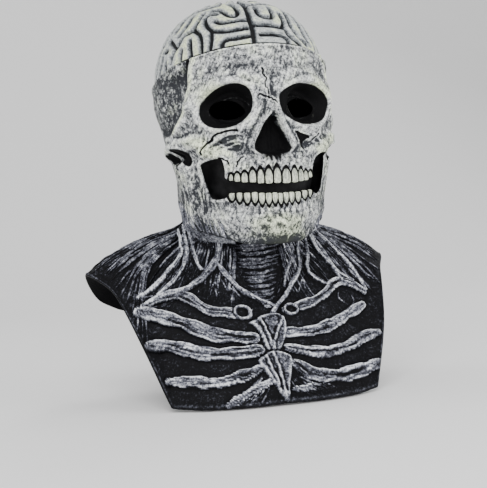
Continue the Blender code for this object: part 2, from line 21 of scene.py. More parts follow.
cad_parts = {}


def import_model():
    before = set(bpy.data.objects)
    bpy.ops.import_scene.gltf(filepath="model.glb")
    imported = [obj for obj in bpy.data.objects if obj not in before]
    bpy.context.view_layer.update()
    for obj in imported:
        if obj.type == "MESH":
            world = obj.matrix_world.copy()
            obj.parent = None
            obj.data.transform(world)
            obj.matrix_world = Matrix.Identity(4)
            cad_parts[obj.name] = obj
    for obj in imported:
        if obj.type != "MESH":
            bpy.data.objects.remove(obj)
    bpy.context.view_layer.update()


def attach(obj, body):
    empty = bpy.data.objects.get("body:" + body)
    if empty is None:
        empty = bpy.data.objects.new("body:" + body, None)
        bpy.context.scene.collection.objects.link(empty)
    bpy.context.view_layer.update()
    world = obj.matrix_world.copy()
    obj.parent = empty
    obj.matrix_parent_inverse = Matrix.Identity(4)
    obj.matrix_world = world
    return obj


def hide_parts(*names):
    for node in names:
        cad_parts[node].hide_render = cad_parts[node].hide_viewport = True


Array = np.ndarray
Line = Sequence[tuple[float, float]]
MM = 0.001
# a place so far off that no outline reaches it
AWAY = 200.0
# half width, half depth and centre of the neck's ring, seen from above
NECK = (52.0, 42.0, 14.0)
log = logging.getLogger("skull_mask")


# Plain arithmetic.

def step(low: Any, high: Any, x: Array) -> Array:
    """Rise smoothly between two limits.

    Args:
        low: Value where the result is 0.
        high: Value where the result is 1.
        x: Values to read.
    Returns:
        Numbers from 0 to 1.
    """
    t = np.clip((x - low) / (high - low), 0.0, 1.0)
    return t * t * (3.0 - 2.0 * t)


def bump(distance: Array, flat: float = 0.0) -> Array:
    """Rounded hill: 1 up to flat, and 0 from distance 1 outwards."""
    return 1.0 - step(flat, 1.0, np.abs(distance))


def curve(xs: Sequence[float], ys: Sequence[float], x: Array) -> Array:
    """Read a smooth curve that never overshoots its points.

    Args:
        xs: Rising keys.
        ys: Values at the keys.
        x: Places to read.
    Returns:
        Values at x, held flat past both ends.
    """
    xs = np.asarray(xs, float)
    ys = np.asarray(ys, float)
    span = np.diff(xs)
    slope = np.diff(ys) / span
    tangent = np.zeros_like(ys)
    tangent[0], tangent[-1] = slope[0], slope[-1]
    same = slope[:-1] * slope[1:] > 0.0
    mean = 2.0 * slope[:-1] * slope[1:] / np.where(same, slope[:-1] + slope[1:], 1.0)
    tangent[1:-1] = np.where(same, mean, 0.0)
    x = np.clip(x, xs[0], xs[-1])
    i = np.clip(np.searchsorted(xs, x) - 1, 0, len(xs) - 2)
    t = (x - xs[i]) / span[i]
    rise = ys[i + 1] - ys[i]
    a, b = tangent[i] * span[i], tangent[i + 1] * span[i]
    return ys[i] + t * (a + t * (3.0 * rise - 2.0 * a - b + t * (a + b - 2.0 * rise)))


def column(table: tuple, place: int, key: Any) -> Any:
    """Read one column of a table over its first one."""
    return curve([row[0] for row in table], [row[place] for row in table], key)


def soft_ceiling(values: Array, top: float, softness: float) -> Array:
    """Hold values under a top, with a rounded corner."""
    return top - softness * np.logaddexp(0.0, (top - values) / softness)


def neck_spoke(x: Any, y: Any) -> Any:
    """Spoke angle of the bib, in degrees, at a place seen from above."""
    return np.degrees(np.arctan2(x / NECK[0], -(y - NECK[2]) / NECK[1]))


def ellipse(x: Array, z: Array, centre: tuple[float, float], radii: tuple[float, float],
            tilt: float = 0.0) -> Array:
    """Distance from a tilted ellipse's centre, counted as 1 on its outline."""
    c, s = math.cos(math.radians(tilt)), math.sin(math.radians(tilt))
    u = (x - centre[0]) * c + (z - centre[1]) * s
    v = (z - centre[1]) * c - (x - centre[0]) * s
    return np.hypot(u / radii[0], v / radii[1])


def smooth_line(points: Line, pieces: int = 5, closed: bool = False) -> Array:
    """Round a polyline off with a curve through its points.

    Args:
        points: Corner points, of two or three numbers.
        pieces: Steps between two corners.
        closed: Whether the line comes back to its start.
    Returns:
        Points of the finer line, the first one repeated at the end if closed.
    """
    p = np.asarray(points, float)
    if closed:
        p = np.concatenate([p[-1:], p, p[:2]])
    else:
        p = np.concatenate([2 * p[:1] - p[1:2], p, 2 * p[-1:] - p[-2:-1]])
    t = (np.arange(pieces) / pieces)[None, :, None]
    a, b, c, d = (p[n:len(p) - 3 + n][:, None, :] for n in range(4))
    fine = 0.5 * (2 * b + (c - a) * t + (2 * a - 5 * b + 4 * c - d) * t ** 2
                  + (3 * b - a - 3 * c + d) * t ** 3)
    return np.concatenate([fine.reshape(-1, p.shape[1]), p[-2:-1]])


def near_line(points: Array, line: Array, reach: float) -> tuple[Array, Array]:
    """Distance from points to a polyline, and the share of its length there.

    Args:
        points: Points of two or three numbers.
        line: Corner points with as many numbers.
        reach: Points further off than this are left out.
    Returns:
        Distances, very large out of reach, and places from 0 to 1.
    """
    flat = points.reshape(-1, points.shape[-1])
    best = np.full(len(flat), 1e3)
    place = np.zeros(len(flat))
    low, high = line.min(0) - reach, line.max(0) + reach
    near = np.nonzero(np.all((flat > low) & (flat < high), axis=1))[0]
    close = flat[near]
    nearest = np.full(len(near), 1e3)
    where = np.zeros(len(near))
    for n, (start, end) in enumerate(zip(line, line[1:])):
        way = end - start
        t = np.clip((close - start) @ way / max(float(way @ way), 1e-9), 0.0, 1.0)
        gap = np.linalg.norm(close - start - t[:, None] * way, axis=1)
        better = gap < nearest
        where[better] = (n + t[better]) / (len(line) - 1)
        nearest = np.where(better, gap, nearest)
    best[near], place[near] = nearest, where
    shape = points.shape[:-1]
    return best.reshape(shape), place.reshape(shape)


def rise_over(points: Array, line: Array, place: Array) -> Array:
    """How far points lie above the place of a line that is nearest to them."""
    return points[..., 2] - np.interp(place * (len(line) - 1), np.arange(len(line)), line[:, 2])


def evenly(line: Array, count: int) -> Array:
    """Points of a line at even steps along it."""
    way = np.concatenate([[0.0], np.cumsum(np.linalg.norm(np.diff(line, axis=0), axis=1))])
    at = np.linspace(0.0, way[-1], count)
    return np.stack([np.interp(at, way, line[:, n]) for n in range(line.shape[1])], -1)


def sampled(grid: Array, row: Array, column: Array) -> Array:
    """Read a grid between its points, at fractions of a row and a column."""
    r = np.clip(row, 0.0, grid.shape[0] - 1.001)
    c = np.clip(column, 0.0, grid.shape[1] - 1.001)
    i, j = r.astype(int), c.astype(int)
    s, t = r - i, c - j
    low = grid[i, j] * (1.0 - t) + grid[i, j + 1] * t
    high = grid[i + 1, j] * (1.0 - t) + grid[i + 1, j + 1] * t
    return low * (1.0 - s) + high * s


def signed(x: Array, z: Array, outline: Array) -> Array:
    """Distance to a closed outline in the plane, negative inside it."""
    points = np.stack([x, z], -1)
    gap, _ = near_line(points, outline, 60.0)
    inside = np.zeros(np.shape(x), bool)
    for (ax, az), (bx, bz) in zip(outline, outline[1:]):
        if az != bz:
            spans = (az > z) != (bz > z)
            inside ^= spans & (x < ax + (z - az) * (bx - ax) / (bz - az))
    return np.where(inside, -gap, gap)


def lattice_noise(points: Array, size: Any, seed: int) -> Array:
    """Smooth seeded noise in space.

    Args:
        points: Points of three numbers.
        size: Width of a grain, one number or one for each axis.
        seed: Picks the pattern.
    Returns:
        Numbers from -1 to 1.
    """
    place = points / np.asarray(size, float) + 17.31 * seed
    cell = np.floor(place).astype(np.int64)
    t = place - cell
    t = t * t * (3.0 - 2.0 * t)
    total = np.zeros(points.shape[:-1])
    for corner in product((0, 1), repeat=3):
        key = (cell + np.array(corner)) @ np.array([73856093, 19349663, 83492791])
        key = (key + seed * 2654435761) & 0xFFFFFFFF
        key = ((key ^ (key >> 15)) * 2246822519) & 0xFFFFFFFF
        key = ((key ^ (key >> 13)) * 3266489917) & 0xFFFFFFFF
        value = ((key ^ (key >> 16)) & 0xFFFF) / 32767.5 - 1.0
        weight = np.prod(np.where(np.array(corner) == 1, t, 1.0 - t), axis=-1)
        total += value * weight
    return total


def rough_noise(points: Array, size: Any, seed: int, octaves: int = 3) -> Array:
    """Sum of ever finer lattice noise, from about -1 to 1."""
    total, weight = np.zeros(points.shape[:-1]), 0.0
    for n in range(octaves):
        share = 0.6 ** n
        total += share * lattice_noise(points, np.asarray(size, float) / 2.0 ** n, seed + n)
        weight += share
    return total / weight * 1.3


def blurred(grid: Array, turns: int, wrap: bool) -> Array:
    """Even out a grid of numbers.

    Args:
        grid: Rows by columns.
        turns: How often each number is averaged with its neighbours.
        wrap: Whether the columns run right round.
    Returns:
        The evened grid.
    """
    out = grid
    for _ in range(turns):
        tall = np.concatenate([out[:1], out, out[-1:]])
        out = (tall[:-2] + 2.0 * out + tall[2:]) / 4.0
        if wrap:
            out = (np.roll(out, 1, 1) + 2.0 * out + np.roll(out, -1, 1)) / 4.0
        else:
            wide = np.concatenate([out[:, :1], out, out[:, -1:]], 1)
            out = (wide[:, :-2] + 2.0 * out + wide[:, 2:]) / 4.0
    return out


def spread(span: float, weight: Callable[[Array], Array], count: int) -> Array:
    """Angles right round, closer together where the weight is larger.

    Args:
        span: Half of the full turn, in the angle's own unit.
        weight: Wanted density at an angle.
        count: Number of angles.
    Returns:
        Rising angles from -span, without the last one that would close.
    """
    fine = np.linspace(-span, span, 4001)
    total = np.concatenate([[0.0], np.cumsum(weight(0.5 * (fine[1:] + fine[:-1])))])
    return np.interp(np.arange(count) / count * total[-1], total, fine)


# The forms.

@dataclass(frozen=True)
class HeadForm:
    """Plain form of the head, as the CAD has it, with its main relief."""

    crown: float = 4.0
    equator: float = -85.0
    roundness: float = 2.2
    rim_front: float = -50.0
    rim_fall: float = 26.0
    wall: float = 2.4
    # level, half width, centre, front, back
    sections: tuple = (
        (-260.0, 58.0, -9.0, -92.0, 70.0), (-243.0, 61.0, -9.0, -97.0, 70.0),
        (-225.0, 65.0, -10.0, -99.0, 71.0), (-203.0, 70.0, -13.0, -99.0, 73.0),
        (-180.0, 75.0, -14.0, -100.0, 78.0), (-155.0, 82.0, -13.0, -98.0, 85.0),
        (-133.0, 87.5, -12.0, -97.0, 91.0), (-110.0, 90.0, -8.0, -96.0, 95.0),
        (-85.0, 90.0, -3.0, -97.0, 97.0),
    )
    # angle from the chin, level of the lower edge
    jaw: tuple = ((0.0, -244.0), (25.0, -243.0), (50.0, -236.0), (75.0, -228.0),
                  (95.0, -217.0), (120.0, -207.0), (150.0, -204.0), (180.0, -203.0))
    # level, half width of the opening of the nose
    nose: tuple = ((-158.0, 3.0), (-154.0, 15.0), (-148.0, 19.0), (-133.0, 12.0),
                   (-124.0, 7.0), (-116.0, 1.0))
    # level, depth of the edge of the temple
    temple: tuple = ((-136.0, -26.0), (-130.0, -37.0), (-108.0, -55.0), (-84.0, -60.0),
                     (-64.0, -60.0))

    def base(self, angle: Array, level: Array) -> tuple[Array, Array]:
        """Points of the plain head.

        Args:
            angle: Turn from the front, in radians.
            level: Height, in millimetres.
        Returns:
            Points and their level outward directions.
        """
        low = np.minimum(level, self.equator)
        rise = np.clip((level - self.equator) / (self.crown - self.equator), 0.0, 1.0)
        factor = (1.0 - rise ** self.roundness) ** (1.0 / self.roundness)
        half = column(self.sections, 1, low) * factor
        centre = column(self.sections, 2, low)
        front = centre - column(self.sections, 3, low)
        back = column(self.sections, 4, low) - centre
        ahead = np.cos(angle)
        depth = np.where(ahead > 0.0, front, back) * factor
        points = np.stack([half * np.sin(angle), centre - depth * ahead, level], -1)
        away = np.stack([np.sin(angle) * depth, -ahead * half, np.zeros_like(level)], -1)
        size = np.maximum(np.linalg.norm(away, axis=-1, keepdims=True), 1e-6)
        return points, away / size

    def jaw_level(self, angle: Any) -> Any:
        """Level of the lower edge of the jaw at a turn in radians."""
        return column(self.jaw, 1, np.degrees(np.abs(angle)))

    def rim(self, angle: Array) -> Array:
        """Level of the cut edge of the skull cap."""
        return self.rim_front - self.rim_fall * (1.0 - np.cos(angle))

    def band(self, x: Array, z: Array, line: Line, width: float, height: float) -> Array:
        """Low rounded ridge along a line."""
        gap, _ = near_line(np.stack([x, z], -1), np.asarray(line, float), width)
        return height * bump(gap / width, 0.25)

    def relief(self, points: Array) -> Array:
        """Main relief of the bone over the plain head, in millimetres."""
        x, y, z = np.abs(points[..., 0]), points[..., 1], points[..., 2]
        side = step(-78.0, -60.0, y) * step(45.0, 10.0, y)
        socket = ellipse(x, z, (41.0, -108.5), (25.0, 22.0), -6.0)
        out = -15.0 * (1.0 - step(0.55, 1.0, socket)) + 2.4 * bump((socket - 1.12) / 0.22)
        brow = ((7, -90), (22, -82), (44, -82), (62, -90), (71, -103))
        out += self.band(x, z, brow, 12.0, 3.0)
        out += 9.0 * step(-92.0, -114.0, z) * step(-132.0, -116.0, z) * (1.0 - step(2.0, 17.0, x))
        wide = np.maximum(column(self.nose, 1, z), 0.5)
        out -= 12.0 * (step(1.05, 0.7, x / wide) * step(-160.0, -154.0, z)
                       * step(-113.0, -122.0, z))
        out += 3.0 * (bump((x - wide - 3.0) / 5.0) * step(-158.0, -150.0, z)
                      * step(-112.0, -122.0, z))
        out += 4.0 * bump(ellipse(x, z, (60.0, -150.0), (17.0, 12.0), 20.0))
        out += 3.0 * bump(ellipse(x, z, (50.0, -136.0), (18.0, 9.0)))
        out -= 5.0 * bump(ellipse(x, z, (38.0, -148.0), (11.0, 7.0), 15.0))
        out += 3.5 * bump(ellipse(x, z, (0.0, -174.0), (46.0, 24.0)), 0.3)
        out += 3.0 * bump(ellipse(x, z, (0.0, -226.0), (30.0, 18.0)), 0.2)
        out += 3.0 * bump((z + 222.0 - 0.18 * (y + 100.0)) / 17.0) * step(-20.0, -45.0, y)
        out *= step(-5.0, -35.0, y)
        behind = y - column(self.temple, 1, z)
        pit = step(0.0, 8.0, behind) * step(52.0, 16.0, behind) * step(-136.0, -126.0, z)
        pit *= step(3.0, 18.0, self.rim_front - self.rim_fall * (1.0 + y / 88.0) - z)
        out -= 9.0 * pit * step(20.0, 50.0, x)
        out += 2.0 * (bump((behind + 5.0) / 8.0) * step(-136.0, -124.0, z)
                      * step(-60.0, -72.0, z) * side)
        arch = self.band(y, z, ((-66, -140), (-50, -143), (-28, -146), (-8, -150)), 10.0, 5.0)
        ear = ellipse(y, z, (-32.0, -154.0), (15.0, 8.5))
        ramus = self.band(y, z, ((-42, -170), (-38, -195), (-30, -222)), 16.0, 4.0)
        out -= 4.5 * (bump((z + 148.0) / 50.0, 0.4) * step(-30.0, 5.0, y) * step(75.0, 45.0, y))
        ear_form = 2.5 * bump((ear - 1.15) / 0.35) - 4.0 * (1.0 - step(0.6, 1.0, ear))
        return out + (arch + ear_form + ramus) * side

    def face_point(self, x: Array, z: Array, depth: Any) -> tuple[Array, Array]:
        """Point of the face at (x, z), pushed in by a depth, and its outward way."""
        half = column(self.sections, 1, z)
        base, out = self.base(np.arcsin(np.clip(x / half, -0.98, 0.98)), z)
        return base + out * (self.relief(base) - depth)[..., None], out


@dataclass(frozen=True)
class BibForm:
    """Plain form of the bib, from the neck inside the jaw out to the hem."""

    corner: float = 60.0
    wall: float = 2.4
    # spoke angle, then neck, throat, collar, chest, middle and hem
    spokes: tuple = (
        (0, (0, -26, -216), (0, -29, -250), (0, -39, -288), (0, -57, -316), (0, -71, -352),
         (0, -99, -398)),
        (20, (18, -24, -216), (19, -27, -250), (24, -36, -288), (32, -55, -316),
         (36, -70, -352), (36, -97, -399)),
        (40, (34, -16, -215), (38, -18, -249), (50, -30, -286), (62, -46, -314),
         (70, -62, -352), (74, -88, -399)),
        (60, (45, -4, -212), (52, -4, -246), (72, -18, -278), (92, -32, -308),
         (104, -48, -350), (108, -70, -397)),
        (80, (50, 8, -209), (60, 8, -240), (85, -4, -264), (105, -16, -288),
         (118, -30, -314), (128, -48, -338)),
        (100, (51, 19, -200), (65, 22, -230), (92, 16, -243), (114, 10, -256),
         (133, 4, -269), (149, 0, -281)),
        (120, (48, 27, -190), (60, 39, -221), (97, 36, -232), (120, 36, -241),
         (144, 38, -253), (165, 40, -267)),
        (140, (36, 38, -186), (50, 58, -224), (82, 74, -240), (102, 84, -258),
         (122, 92, -278), (140, 98, -300)),
        (160, (20, 50, -184), (32, 70, -226), (46, 90, -250), (56, 102, -274),
         (66, 112, -298), (75, 120, -322)),
        (180, (0, 56, -184), (0, 76, -226), (0, 95, -252), (0, 107, -277), (0, 117, -302),
         (0, 125, -328)),
    )

    def base(self, angle: Array, reach: Array) -> Array:
        """Points of the plain bib.

        Args:
            angle: Spoke angle in degrees, 0 in front and 180 behind.
            reach: Share of the way from the neck to the hem.
        Returns:
            Points in millimetres.
        """
        side = np.where(angle < 0.0, -1.0, 1.0)
        turn = np.abs(angle)
        front = [s for s in self.spokes if s[0] <= self.corner]
        rest = [s for s in self.spokes if s[0] >= self.corner]
        rows = []
        for ring in range(1, 7):
            axes = []
            for axis in range(3):
                ahead = curve([s[0] for s in front], [s[ring][axis] for s in front],
                              np.minimum(turn, self.corner))
                behind = curve([s[0] for s in rest], [s[ring][axis] for s in rest],
                               np.maximum(turn, self.corner))
                axes.append(np.where(turn < self.corner, ahead, behind))
            rows.append(np.stack(axes, -1))
        place = np.clip(reach, 0.0, 1.0) * 5.0
        first = np.clip(np.floor(place), 0, 4)
        points = np.zeros(np.shape(angle) + (3,))
        for n in range(5):
            t = np.clip(place - n, 0.0, 1.0)[..., None]
            span = rows[n + 1] - rows[n]
            a = 0.5 * (rows[n + 1] - rows[n - 1]) if n else span
            b = 0.5 * (rows[n + 2] - rows[n]) if n < 4 else span
            part = rows[n] + t * (a + t * (3.0 * span - 2.0 * a - b + t * (a + b - 2.0 * span)))
            points = np.where((first == n)[..., None], part, points)
        points[..., 0] *= side
        return points


# Thin skins.

@dataclass
class Skin:
    """Triangles in millimetres, with named numbers at their points."""

    points: Array
    faces: Array
    marks: dict[str, Array] = field(default_factory=dict)

    @staticmethod
    def from_grid(grid: Array, marks: dict[str, Array], wrap: bool) -> "Skin":
        """Triangulate a grid of points.

        Args:
            grid: Rows by columns by three.
            marks: Numbers for each grid point.
            wrap: Whether the last column joins the first.
        Returns:
            The skin, facing the way that down crossed with right points away from.
        """
        rows, columns = grid.shape[:2]
        index = np.arange(rows * columns).reshape(rows, columns)
        after = np.roll(index, -1, 1) if wrap else index[:, 1:]
        here = index if wrap else index[:, :-1]
        a, b, c, d = here[:-1], here[1:], after[1:], after[:-1]
        faces = np.concatenate([np.stack([a, b, c], -1).reshape(-1, 3),
                                np.stack([a, c, d], -1).reshape(-1, 3)])
        flat = {name: values.reshape(-1) for name, values in marks.items()}
        return Skin(grid.reshape(-1, 3), faces, flat)

    def clip(self, height: Array) -> "Skin":
        """Keep the part where a number at the points is positive.

        Args:
            height: One number for each point.
        Returns:
            A skin that ends exactly where the number is 0.
        """
        height = np.where(np.abs(height) < 0.05, 0.05, height)
        stays = height[self.faces] > 0.0
        count = stays.sum(1)
        kept = [self.faces[count == 3]]
        mixed = []
        for wanted in (1, 2):
            pick = count == wanted
            some, sure = self.faces[pick], stays[pick]
            odd = np.argmax(sure == (wanted == 1), axis=1)
            order = (odd[:, None] + np.arange(3)) % 3
            mixed.append(np.take_along_axis(some, order, 1))
        ones, twos = mixed
        pairs = np.concatenate([ones[:, [0, 1]], ones[:, [0, 2]], twos[:, [0, 1]],
                                twos[:, [0, 2]]])
        keys, back = np.unique(np.sort(pairs, 1), axis=0, return_inverse=True)
        share = height[keys[:, 0]] / (height[keys[:, 0]] - height[keys[:, 1]])
        new = len(self.points) + back.reshape(-1)
        a, b = len(ones), len(twos)
        one_b, one_c = new[:a], new[a:2 * a]
        two_b, two_c = new[2 * a:2 * a + b], new[2 * a + b:]
        kept.append(np.stack([ones[:, 0], one_b, one_c], -1))
        kept.append(np.stack([two_b, twos[:, 1], twos[:, 2]], -1))
        kept.append(np.stack([two_b, twos[:, 2], two_c], -1))

        def grown(values: Array) -> Array:
            """Add the values of the new points on the cut."""
            t = share if values.ndim == 1 else share[:, None]
            extra = values[keys[:, 0]] * (1.0 - t) + values[keys[:, 1]] * t
            return np.concatenate([values, extra])

        faces = np.concatenate(kept)
        used, faces = np.unique(faces, return_inverse=True)
        marks = {name: grown(values)[used] for name, values in self.marks.items()}
        return Skin(grown(self.points)[used], faces.reshape(-1, 3), marks)

    def join(self, other: "Skin") -> "Skin":
        """Put another skin's triangles beside this one's."""
        marks = {name: np.concatenate([values, other.marks.get(name, np.zeros(len(other.points)))])
                 for name, values in self.marks.items()}
        return Skin(np.concatenate([self.points, other.points]),
                    np.concatenate([self.faces, other.faces + len(self.points)]), marks)

    def turned(self) -> "Skin":
        """The same skin facing the other way."""
        return Skin(self.points, self.faces[:, ::-1], self.marks)

    def mesh(self, name: str) -> bpy.types.Mesh:
        """Blender mesh in metres, with the marks as point attributes."""
        mesh = bpy.data.meshes.new(name)
        mesh.from_pydata((self.points * MM).tolist(), [], self.faces.tolist())
        for mark, values in self.marks.items():
            store(mesh, mark, values)
        return mesh


def store(mesh: bpy.types.Mesh, name: str, values: Any, kind: str = "FLOAT") -> None:
    """Store one number, or one vector, at each point of a mesh."""
    layer = mesh.attributes.new(name, kind, "POINT")
    entry = "vector" if kind == "FLOAT_VECTOR" else "value"
    layer.data.foreach_set(entry, np.asarray(values, np.float32).reshape(-1))


@contextmanager
def edited(mesh: bpy.types.Mesh) -> Iterator[bmesh.types.BMesh]:
    """Open a mesh for editing, and write it back with its faces outward."""
    shape = bmesh.new()
    shape.from_mesh(mesh)
    yield shape
    bmesh.ops.recalc_face_normals(shape, faces=shape.faces[:])
    shape.to_mesh(mesh)
    shape.free()


def open_loops(shape: bmesh.types.BMesh) -> list[list[bmesh.types.BMEdge]]:
    """Group the open edges of a mesh into loops.

    Args:
        shape: The mesh.
    Returns:
        One list of edges for each loop.
    """
    left = {edge for edge in shape.edges if len(edge.link_faces) == 1}
    loops = []
    while left:
        start = min(left, key=lambda edge: edge.index)
        left.discard(start)
        loop, stack = [start], [start]
        while stack:
            for vert in stack.pop().verts:
                for edge in vert.link_edges:
                    if edge in left:
                        left.discard(edge)
                        loop.append(edge)
                        stack.append(edge)
        loops.append(loop)
    return loops


def close_wall(name: str, outer: Skin, inner: Skin) -> bpy.types.Object:
    """Join an outer and an inner skin along all their edges.

    Args:
        name: Name of the piece.
        outer: Fine skin that faces out.
        inner: Coarser skin with the same openings, facing the same way.
    Returns:
        The closed piece, linked to the scene.
    """
    mesh = outer.join(inner.turned()).mesh(name)
    with edited(mesh) as shape:
        bmesh.ops.remove_doubles(shape, verts=shape.verts[:], dist=2e-5)
        bmesh.ops.dissolve_degenerate(shape, dist=1e-6, edges=shape.edges[:])
        shape.edges.index_update()
        loops = [loop for loop in open_loops(shape) if len(loop) > 5]
        places = [np.mean([(e.verts[0].co + e.verts[1].co) / 2 for e in loop], axis=0)
                  for loop in loops]
        free = list(range(len(loops)))
        while len(free) > 1:
            first = free.pop(0)
            other = min(free, key=lambda n: float(np.linalg.norm(places[n] - places[first])))
            free.remove(other)
            bmesh.ops.bridge_loops(shape, edges=loops[first] + loops[other])
        bmesh.ops.triangulate(shape, faces=[f for f in shape.faces if len(f.verts) > 3])
    return finished(name, mesh)


def finished(name: str, mesh: bpy.types.Mesh, crease: float = 50.0) -> bpy.types.Object:
    """Object of a mesh, shaded smooth up to a crease angle in degrees."""
    for old in ("sharp_face", "sharp_edge"):
        if old in mesh.attributes:
            mesh.attributes.remove(mesh.attributes[old])
    mesh.polygons.foreach_set("use_smooth", [True] * len(mesh.polygons))
    mesh.set_sharp_from_angle(angle=math.radians(crease))
    obj = bpy.data.objects.new(name, mesh)
    bpy.context.scene.collection.objects.link(obj)
    return obj


# Node trees.

@dataclass(frozen=True)
class Signal:
    """A node socket that is worked on with Python operators."""

    tree: "Tree"
    socket: bpy.types.NodeSocket

    def maths(self, operation: str, *values: Any) -> "Signal":
        """Add a Math node for this and other values."""
        node = self.tree.node("ShaderNodeMath", {"operation": operation},
                              {n: value for n, value in enumerate(values)})
        return Signal(self.tree, node.outputs[0])

    def __add__(self, other: Any) -> "Signal":
        """Sum."""
        return self.maths("ADD", self, other)

    __radd__ = __add__

    def __sub__(self, other: Any) -> "Signal":
        """Difference."""
        return self.maths("SUBTRACT", self, other)

    def __rsub__(self, other: Any) -> "Signal":
        """Difference from a plain number."""
        return self.maths("SUBTRACT", other, self)

    def __mul__(self, other: Any) -> "Signal":
        """Product."""
        return self.maths("MULTIPLY", self, other)

    __rmul__ = __mul__

    def swing(self, amount: float) -> "Signal":
        """Noise around 0.5 turned into one around 0, of a strength."""
        return (self - 0.5) * amount

    def between(self, low: float, high: float) -> "Signal":
        """Smooth rise from 0 at low to 1 at high."""
        settings = {"interpolation_type": "SMOOTHSTEP"}
        node = self.tree.node("ShaderNodeMapRange", settings,
                              {"Value": self, "From Min": low, "From Max": high})
        return Signal(self.tree, node.outputs[0])


@dataclass
class Tree:
    """Builder of one node tree."""

    tree: bpy.types.NodeTree

    def node(self, kind: str, settings: dict[str, Any],
             sockets: dict[Any, Any]) -> bpy.types.Node:
        """Add a node.

        Args:
            kind: Type of the node.
            settings: Its settings, set first; stops are those of a colour ramp.
            sockets: Values or links for its inputs, by name or number.
        Returns:
            The node.
        """
        node = self.tree.nodes.new(kind)
        for name, value in settings.items():
            if name == "stops":
                while len(node.color_ramp.elements) < len(value):
                    node.color_ramp.elements.new(1.0)
                for element, (place, colour) in zip(node.color_ramp.elements, value):
                    element.position = place
                    element.color = (*colour, 1.0)
            else:
                setattr(node, name, value)
        for name, value in sockets.items():
            if isinstance(value, Signal):
                self.tree.links.new(value.socket, node.inputs[name])
            elif isinstance(value, bpy.types.NodeSocket):
                self.tree.links.new(value, node.inputs[name])
            else:
                node.inputs[name].default_value = value
        return node

    def signal(self, kind: str, settings: dict[str, Any], sockets: dict[Any, Any],
               output: Any = 0) -> Signal:
        """Add a node and take one of its outputs."""
        return Signal(self, self.node(kind, settings, sockets).outputs[output])


class Shader(Tree):
    """Builder of one material's nodes."""

    def __init__(self, name: str) -> None:
        """Start a material with only its output."""
        self.material = bpy.data.materials.new(name)
        self.material.use_nodes = True
        super().__init__(self.material.node_tree)
        self.tree.nodes.clear()
        self.place = self.node("ShaderNodeTexCoord", {}, {}).outputs["Object"]

    def mark(self, name: str) -> Signal:
        """Number stored at the mesh's points."""
        return self.signal("ShaderNodeAttribute", {"attribute_name": name}, {}, "Fac")

    def noise(self, grain: float, detail: float = 3.0, roughness: float = 0.6,
              stretch: tuple[float, float, float] = (1.0, 1.0, 1.0), turn: float = 0.0) -> Signal:
        """Noise whose grains are so many millimetres wide.

        Args:
            grain: Width of a grain in millimetres.
            detail: How many finer layers it has.
            roughness: Strength of the finer layers.
            stretch: How much longer the grains are along each axis.
            turn: Turn about Y, in degrees.
        Returns:
            Numbers around 0.5.
        """
        place = self.signal("ShaderNodeMapping", {"vector_type": "TEXTURE"}, {
            "Vector": self.place, "Scale": stretch,
            "Rotation": (0.0, math.radians(turn), 0.0)})
        return self.signal("ShaderNodeTexNoise", {}, {
            "Vector": place, "Scale": 1000.0 / grain, "Detail": detail, "Roughness": roughness})

    def ramp(self, fac: Signal, stops: Sequence[tuple[float, tuple]]) -> Signal:
        """Colours along a number."""
        return self.signal("ShaderNodeValToRGB", {"stops": stops}, {"Fac": fac})

    def mix(self, fac: Any, first: Any, second: Any) -> Signal:
        """Blend two colours."""
        first, second = ((*c, 1.0) if isinstance(c, tuple) else c for c in (first, second))
        return self.signal("ShaderNodeMix", {"data_type": "RGBA"}, {0: fac, 6: first, 7: second}, 2)

    def finish(self, colour: Any, roughness: Any, height: Signal, depth: float,
               specular: float = 0.5) -> bpy.types.Material:
        """Close the tree with the surface shader.

        Args:
            colour: Base colour.
            roughness: Roughness.
            height: Height of the fine surface relief.
            depth: Its depth in millimetres.
            specular: Level of the shine, the same all over.
        Returns:
            The material.
        """
        relief = self.signal("ShaderNodeBump", {}, {
            "Strength": 1.0, "Distance": depth * MM, "Height": height})
        surface = self.node("ShaderNodeBsdfPrincipled", {}, {
            "Base Color": colour, "Roughness": roughness, "Normal": relief,
            "Specular IOR Level": specular})
        self.node("ShaderNodeOutputMaterial", {}, {"Surface": surface.outputs[0]})
        return self.material


@dataclass(frozen=True)
class BonePaint:
    """Black latex dry-brushed in grey, bone white and a warm greenish cream."""

    black: tuple = (0.0022, 0.0022, 0.0026)
    warm: tuple = ((0.0, (0.036, 0.040, 0.036)), (0.30, (0.185, 0.205, 0.160)),
                   (0.62, (0.53, 0.575, 0.43)), (1.0, (0.90, 0.96, 0.72)))
    cool: tuple = ((0.0, (0.028, 0.030, 0.035)), (0.30, (0.162, 0.168, 0.174)),
                   (0.62, (0.46, 0.475, 0.475)), (1.0, (0.86, 0.88, 0.84)))

    def material(self) -> bpy.types.Material:
        """Mix the paint from the point marks pale, warm and ink; pale and ink also carry painted
        shade under the jaw and a painted shadow behind the temples' front edges.
        """
        s = Shader("BonePaint")
        speck = s.noise(1.7, 4.0, 0.75)
        dots = s.noise(4.0, 3.0, 0.6)
        cloud = s.noise(16.0, 3.0, 0.55)
        strokes = s.noise(2.2, 3.0, 0.65, (1.0, 1.0, 5.0), 24.0)
        cover = s.mark("pale") + speck.swing(2.4) + dots.swing(1.3)
        cover = cover + cloud.swing(0.9) + strokes.swing(1.7)
        tint = (s.mark("warm") + cloud.swing(1.6)).between(0.15, 0.85)
        paint = s.mix(tint, s.ramp(cover, self.cool), s.ramp(cover, self.warm))
        ink = (s.mark("ink") + speck.swing(0.8)).between(0.3, 0.72)
        colour = s.mix(ink, paint, self.black)
        height = speck * 0.7 + dots * 0.5 + cover.between(0.0, 1.0) * 0.4
        return s.finish(colour, 0.78 + speck.swing(0.3), height, 0.35, 0.10)


